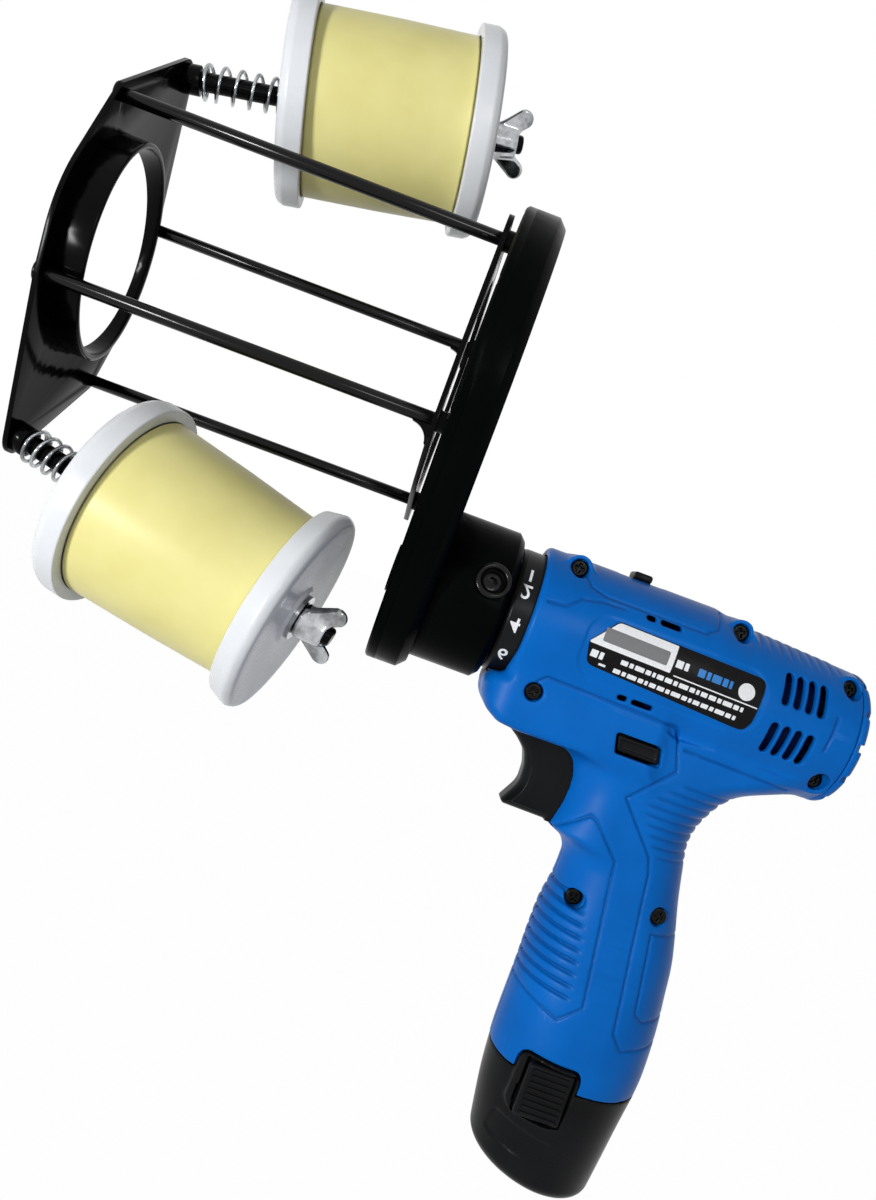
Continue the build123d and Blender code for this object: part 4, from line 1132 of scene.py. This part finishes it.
def makeSocketScrews(name, node, recess, sink):
    # hexagon-socket heads that face forward where the CAD has its screws, each with its shank
    spots, shanks = [], []
    for low, high in islands(node):
        middle, radius = (low + high) / 2, (high[1] - low[1]) / 2
        spots.append(((low[0], middle[1], middle[2]), (-1, 0, 0), 0.3))
        length, core = high[0] - low[0] - 1, radius * 0.45
        shank = [(0, 0, 0), (core, 0, 0), (core, length, 0.3), (0, length, 0)]
        shanks.append(spun(name, shank, alongX(low[0] + 1, middle[1], middle[2]), 24, 2))
    head = screwHead(name, radius, sink, recess, sink * 0.6, 6)
    made = setOnSpots(name, head, spots, "screw")
    place(name, joined(name, [made] + shanks), "screw", node)


makeSocketScrews("coverScrews", "head_cover_screws", 1.35, 1.7)
makeSocketScrews("rodEndScrews", "rod_end_screws", 1.6, 1.8)
print("screws set")


def makeDirectionBar():
    # a push-through bar that fills its slanted window
    low, high = span("direction_selector")
    step = 0.3
    (left, bottom), (right, top) = np.min(housing["window"], 0), np.max(housing["window"], 0)
    grid = gridOver((left, low.y, bottom), (right, high.y, top), step)
    x, y, z = grid
    outline = outlineDistance(housing["window"], x, z) - housing["windowRound"] + housing["barGap"]
    body = rounded([outline, np.abs(y - (low.y + high.y) / 2) - (high.y - low.y) / 2], 0.8)
    dish = np.maximum(outline + 1.3, (high.y - low.y) / 2 - 0.45 - np.abs(y))
    body = smoothCut(body, dish, 0.3)
    mesh = meshFromField("directionBar", body, grid, step, 0.4)
    place("directionBar", mesh, "black", "direction_selector")


def shortenFarSide(piece, share):
    # the collar stands out less on its far side than on its near side
    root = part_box("far_plate")[1].x
    low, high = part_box("ring_collar")
    for vert in piece.data.vertices:
        if vert.co.x > root:
            back = (vert.co.y - low.y) / (high.y - low.y)
            vert.co.x = root + (vert.co.x - root) * (1 - share * back)


clampRim = {"inner": 4.0, "outer": 5.6, "sink": 1.2, "lift": 0.5}


def makeClampRim():
    # the rolled lip round the clamp screw's seat
    middle = middleOf("clamp_screw")
    axis = Vector((middle.x, 0, places["spindleZ"]))
    away = (middle - axis).normalized()
    top = Vector((middle.x, span("clamp_sleeve")[0].y, middle.z))
    reach = (top - axis).dot(away)
    inner, outer, lift = clampRim["inner"], clampRim["outer"], clampRim["lift"]
    profile = [(inner, -clampRim["sink"], 0), (outer, -clampRim["sink"], 0), (outer, lift * 0.4, 0.5),
               ((inner + outer) / 2, lift, 0.6), (inner, lift * 0.4, 0.5)]
    at = Matrix.Translation((axis + away * reach) * mm) @ away.to_track_quat("Z", "X").to_matrix().to_4x4()
    detail("clampRim", spun("clampRim", profile, at, 64, 4), "rod", "clamp_sleeve")


makeDirectionBar()
softened("speedSlider", "speed_selector", 0.5, "black")
softened("clampSleeve", "clamp_sleeve", 0.5, "casting")
softened("clampScrew", "clamp_screw", 0.25, "rod")
makeClampRim()
softened("headCase", "head_case", 0.9, "casting")
softened("headCover", "head_cover", 0.4, "casting")
softened("nearPlate", "near_plate", 0.25, "enamel")
softened("farPlate", "far_plate", 0.35, "enamel")
shortenFarSide(softened("ringCollar", "ring_collar", 0.3, "enamel"), 0.72)
softened("ringGear", "ring_gear", 0.12, "steel", 1)
softened("drivePinion", "drive_pinion", 0.12, "steel", 1)
for rod in ("guide_rod_1", "guide_rod_2", "guide_rod_3", "guide_rod_4"):
    softened("rod" + rod[-1], rod, 0.2, "rod", 2)
for spindle in ("spool_spindle_1", "spool_spindle_2"):
    softened("spindle" + spindle[-1], spindle, 0.3, "enamel", 2)
print("machined parts finished")


collarPrint = {
    "marks": [("1", 37.9), ("2", 21.2), ("4", -9.0), ("6", -40.0), ("8", -78.0), ("10", -102.0), ("12", -133.0),
              ("14", -164.0), ("16", 165.0), ("18", 134.0), ("20", 103.0)],
    "height": 4.9,
    "turn": 90.0,
    "ink": 0.05,
    "bold": 0.1,
    "shift": -1.2,
}


def makeCollar():
    # a smooth ring with its setting numbers printed round it
    low, high = span("torque_collar")
    radius = (high.y - low.y) / 2
    profile = [(16.4, low.x, 0.3), (radius - 0.5, low.x, 0.4), (radius, low.x + 1.4, 0.6), (radius, high.x, 0.7),
               (16.4, high.x, 0.3)]
    place("torqueCollar", spun("torqueCollar", profile, alongX(0, 0, places["spindleZ"])), "collar", "torque_collar")
    for index, (text, angle) in enumerate(collarPrint["marks"]):
        curve = bpy.data.curves.new("mark", "FONT")
        curve.body = text
        curve.size = collarPrint["height"] * 1.35
        curve.offset = collarPrint["bold"]
        curve.align_x, curve.align_y = "CENTER", "CENTER"
        flat = evaluated(newObject("mark", curve))
        shell = bmesh.new()
        shell.from_mesh(flat)
        bmesh.ops.remove_doubles(shell, verts=shell.verts, dist=1e-5)
        bmesh.ops.subdivide_edges(shell, edges=[e for e in shell.edges if e.calc_length() > 0.8], cuts=2)
        bmesh.ops.triangulate(shell, faces=shell.faces)
        turn = math.radians(collarPrint["turn"])
        for vert in shell.verts:
            across = vert.co.x * math.cos(turn) - vert.co.y * math.sin(turn)
            along = vert.co.x * math.sin(turn) + vert.co.y * math.cos(turn)
            about = math.radians(angle) + across / radius
            reach = radius + collarPrint["ink"]
            vert.co = Vector(((low.x + high.x) / 2 + collarPrint["shift"] + along, -reach * math.cos(about),
                              places["spindleZ"] + reach * math.sin(about))) * mm
        detail("collarMark" + str(index + 1), meshOf("mark", shell), "ink", "torque_collar")


makeCollar()


spool = {
    "flange": {"radius": 34.0, "depth": 9.0, "web": 3.2, "rim": 2.6, "dish": 0.9},
    "tape": {"ends": {"1": (30.0, 30.0), "2": (30.3, 27.8)}, "length": 53.0, "bulge": 0.25},
    "outerLip": {"1": 34.0, "2": 32.0},
    "core": 19.0,
    "bore": 3.16,
    "nut": {"hub": 5.7, "length": 9.0, "ear": (8.4, 10.0), "root": (3.4, 3.6), "earRadius": 3.1, "rootRadius": 3.0,
            "thick": (1.5, 1.05), "turn": 35.0},
    "spring": {"start": 5.75, "end": 32.3, "radius": 5.4, "wire": 0.62, "turns": {"1": 6.0, "2": 7.6}},
    "foot": 33.5,
}


def spoolPlace(number):
    # the spindle's axis and its middle, from the tape roll's own points
    points = np.array([vert.co[:] for vert in frame["nodes"]["tape_roll_" + number].data.vertices])
    points = np.unique(np.round(points, 7), axis=0)
    along = Vector(np.linalg.eigh(np.cov(points.T))[1][:, -1])
    if along.x < 0:
        along = -along
    turned = along.to_track_quat("Z", "X").to_matrix().to_4x4()
    middle = spool["foot"] + spool["flange"]["depth"] + spool["tape"]["length"] / 2
    return Matrix.Translation(Vector(points.mean(0)) - along * middle * mm) @ turned


def flangeProfile(start, way, lip):
    # the closed cap seen from its outer face, with a rolled rim and a shallow dish
    flange = spool["flange"]
    outer, depth, web = flange["radius"], flange["depth"], flange["web"]
    hub, spigot = spool["bore"], spool["core"] - 1.8
    points = [(hub, 0.0, 0.2), (9.0, 0.0, 0.3), (10.2, flange["dish"], 0.8), (outer - 5.0, flange["dish"] * 0.4, 3.0),
              (outer - 1.4, 0.35, flange["rim"]), (outer, 3.0, flange["rim"]), (lip, depth, 0.7),
              (lip - 3.8, depth, 0.4), (lip - 4.1, web, 1.0), (22.0, web, 0.5), (22.0, depth, 0.3),
              (spigot, depth, 0.2), (spigot, depth + 3.0, 0.5), (spigot - 3.0, depth + 3.0, 0.5),
              (spigot - 3.0, web, 1.0), (6.2, web, 1.0), (6.2, depth, 0.4), (hub, depth, 0.2)]
    return [(radius, start + way * along, rounding) for radius, along, rounding in points]


def wingNut(name):
    nut = spool["nut"]
    step = 0.28
    top = nut["ear"][1] + nut["earRadius"] + 0.3
    grid = gridOver((-12.2, -nut["hub"] - 0.3, -0.2), (12.2, nut["hub"] + 0.3, top), step)
    x, y, z = grid
    taper = nut["hub"] - 0.12 * z
    hub = rounded([np.sqrt(x ** 2 + y ** 2) - taper, np.abs(z - nut["length"] / 2) - nut["length"] / 2], 0.8)
    side = np.abs(x)
    ax, az = nut["root"]
    bx, bz = nut["ear"]
    t = np.clip(((side - ax) * (bx - ax) + (z - az) * (bz - az)) / ((bx - ax) ** 2 + (bz - az) ** 2), 0, 1)
    flat = np.sqrt((side - ax - (bx - ax) * t) ** 2 + (z - az - (bz - az) * t) ** 2)
    flat = flat - nut["rootRadius"] - (nut["earRadius"] - nut["rootRadius"]) * t
    thick = nut["thick"][0] + (nut["thick"][1] - nut["thick"][0]) * t
    wings = rounded([flat, np.abs(y) - thick], 0.85)
    body = smoothUnion(hub, wings, 1.6)
    body = np.maximum(body, -z)
    body = smoothCut(body, np.sqrt(x ** 2 + y ** 2) - spool["bore"], 0.3)
    return meshFromField(name, body, grid, step, 0.5)


def makeSpools():
    flange, tape, nut, spring = spool["flange"], spool["tape"], spool["nut"], spool["spring"]
    start = spool["foot"]
    end = start + 2 * flange["depth"] + tape["length"]
    nutMesh = wingNut("wingNut")
    for number in ("1", "2"):
        at = spoolPlace(number)
        inner = spun("inner", flangeProfile(start, 1, flange["radius"]), at, 192, 6)
        outer = spun("outer", flangeProfile(end, -1, spool["outerLip"][number]), at, 192, 6)
        place("innerFlange" + number, inner, "white", f"spool_{number}_inner_flange")
        place("outerFlange" + number, outer, "white", f"spool_{number}_outer_flange")
        low, high = start + flange["depth"] + 0.02, end - flange["depth"] - 0.02
        first, last = tape["ends"][number]
        roll = [(spool["core"] + 0.02, low, 0), (first - 0.5, low, 0.3), (first, low + 0.7, 0.5),
                ((first + last) / 2 + tape["bulge"], (low + high) / 2, 20),
                (last, high - 0.7, 0.5), (last - 0.5, high, 0.3), (spool["core"] + 0.02, high, 0)]
        place("tapeRoll" + number, spun("tape", roll, at, 192, 5), "tape", "tape_roll_" + number)
        coil = solve("coil", trees["coil"], {
            "Turns": spring["turns"][number], "Radius": spring["radius"] * mm, "Wire": spring["wire"] * mm,
            "Height": (spring["end"] - spring["start"] - 2 * spring["wire"]) * mm, "Material": paint["chrome"]})
        coil.transform(at @ Matrix.Translation(Vector((0, 0, spring["start"] + spring["wire"])) * mm))
        place("tensionSpring" + number, smoothShaded(coil), "chrome", "tension_spring_" + number)
        turned = nutMesh.copy()
        lift = Matrix.Translation(Vector((0, 0, end + 1.3)) * mm)
        turned.transform(at @ lift @ Matrix.Rotation(math.radians(nut["turn"]), 4, "Z"))
        place("wingNut" + number, turned, "chrome", "wing_nut_" + number)


makeSpools()
print("spools wound")

inside = {
    # the motor carries the painted vent shade
    "gearbox_case": "casting", "motor": "ventShade", "output_spindle": "steel",
    "pinion_bushes": "bronze", "rotor_bush": "bronze", "rod_spacers": "enamel", "spool_washers": "chrome",
    "spool_1_core": "core", "spool_2_core": "core", "switch_module": "black", "terminal_block": "black",
    "battery_cells": "cell", "battery_contacts": "contact",
}
for node, material in inside.items():
    mesh = frame["nodes"][node].data
    mesh.materials.clear()
    mesh.materials.append(paint[material])
print("inner parts finished")


camera = {
    "at": (10.78, -315.52, -60.89),
    "yaw": -0.0312,
    "pitch": -0.0275,
    "roll": 0.3539,
    "lens": 28.63,
}
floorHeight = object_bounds()[0].z / mm - 0.2
lamps = {
    "key": {"at": (-500, -700, -130), "to": (10, 0, -90), "size": (130, 130), "power": 5.5},
    "front": {"at": (240, -900, 160), "to": (40, 0, -60), "size": (200, 200), "power": 1.4},
}


def makeCamera():
    yaw, pitch, roll = camera["yaw"], camera["pitch"], camera["roll"]
    ahead = Vector((-math.sin(yaw) * math.cos(pitch), math.cos(yaw) * math.cos(pitch), math.sin(pitch)))
    level = Vector((math.cos(yaw), math.sin(yaw), 0))
    upright = level.cross(ahead)
    right = level * math.cos(roll) + upright * math.sin(roll)
    up = upright * math.cos(roll) - level * math.sin(roll)
    made = newObject("camera", bpy.data.cameras.new("camera"))
    made.data.sensor_fit, made.data.sensor_width, made.data.lens = "AUTO", 36.0, camera["lens"]
    made.data.clip_start, made.data.clip_end = 0.01, 20.0
    turn = Matrix((right, up, -ahead)).transposed().to_4x4()
    made.matrix_world = Matrix.Translation(Vector(camera["at"]) * mm) @ turn
    bpy.context.scene.camera = made


def makeLamps():
    for name, lamp in lamps.items():
        data = bpy.data.lights.new(name, "AREA")
        data.shape = "RECTANGLE"
        data.size, data.size_y = lamp["size"][0] * mm, lamp["size"][1] * mm
        data.energy = lamp["power"]
        made = newObject(name, data)
        way = Vector(lamp["to"]) - Vector(lamp["at"])
        made.matrix_world = (Matrix.Translation(Vector(lamp["at"]) * mm)
                             @ way.to_track_quat("-Z", "Y").to_matrix().to_4x4())


def seenDirectly(here):
    # camera, mirror and glass rays see the plain pale ground
    path = here.node("ShaderNodeLightPath", None, None, "Is Camera Ray")
    glossy = Wire(here.tree, path.socket.node.outputs["Is Glossy Ray"])
    glass = Wire(here.tree, path.socket.node.outputs["Is Transmission Ray"])
    return path.reckon("MAXIMUM", path, path.reckon("MAXIMUM", glossy, glass))


def makeGround():
    material, here, surface = newMaterial("paleFloor", {"Roughness": 0.9, "Specular IOR Level": 0.05})
    mottle = here.noise(6.0, 2.0)
    feed(here, surface, {"Base Color": mottle.spread(0, 1).blend((0.74, 0.74, 0.74), (0.80, 0.80, 0.80))})
    glow = here.node("ShaderNodeEmission", None, {"Color": (1, 1, 1, 1), "Strength": 1.0})
    seen = seenDirectly(here)
    shown = here.node("ShaderNodeMixShader", None, {0: seen * 0.985, 1: Wire(here.tree, surface.outputs[0]), 2: glow})
    end = here.tree.nodes["Material Output"]
    here.tree.links.new(shown.socket, end.inputs["Surface"])
    half, height = 6.0, floorHeight * mm
    mesh = bpy.data.meshes.new("floor")
    mesh.from_pydata([(-half, -half, height), (half, -half, height), (half, half, height), (-half, half, height)],
                     [], [(0, 1, 2, 3)])
    mesh.materials.append(material)
    newObject("floor", mesh)
    world = bpy.data.worlds.new("studio")
    bpy.context.scene.world = world
    world.use_nodes = True
    tree = world.node_tree
    back = tree.nodes["Background"]
    here = Wire(tree, tree.nodes.new("ShaderNodeTexCoord").outputs["Generated"])
    level = seenDirectly(here).spread(0.17, 1.0, 0, 1)
    back.inputs["Color"].default_value = (1, 1, 1, 1)
    tree.links.new(level.socket, back.inputs["Strength"])


makeCamera()
makeLamps()
makeGround()
bpy.context.scene.view_settings.view_transform = "Standard"
print("studio ready")
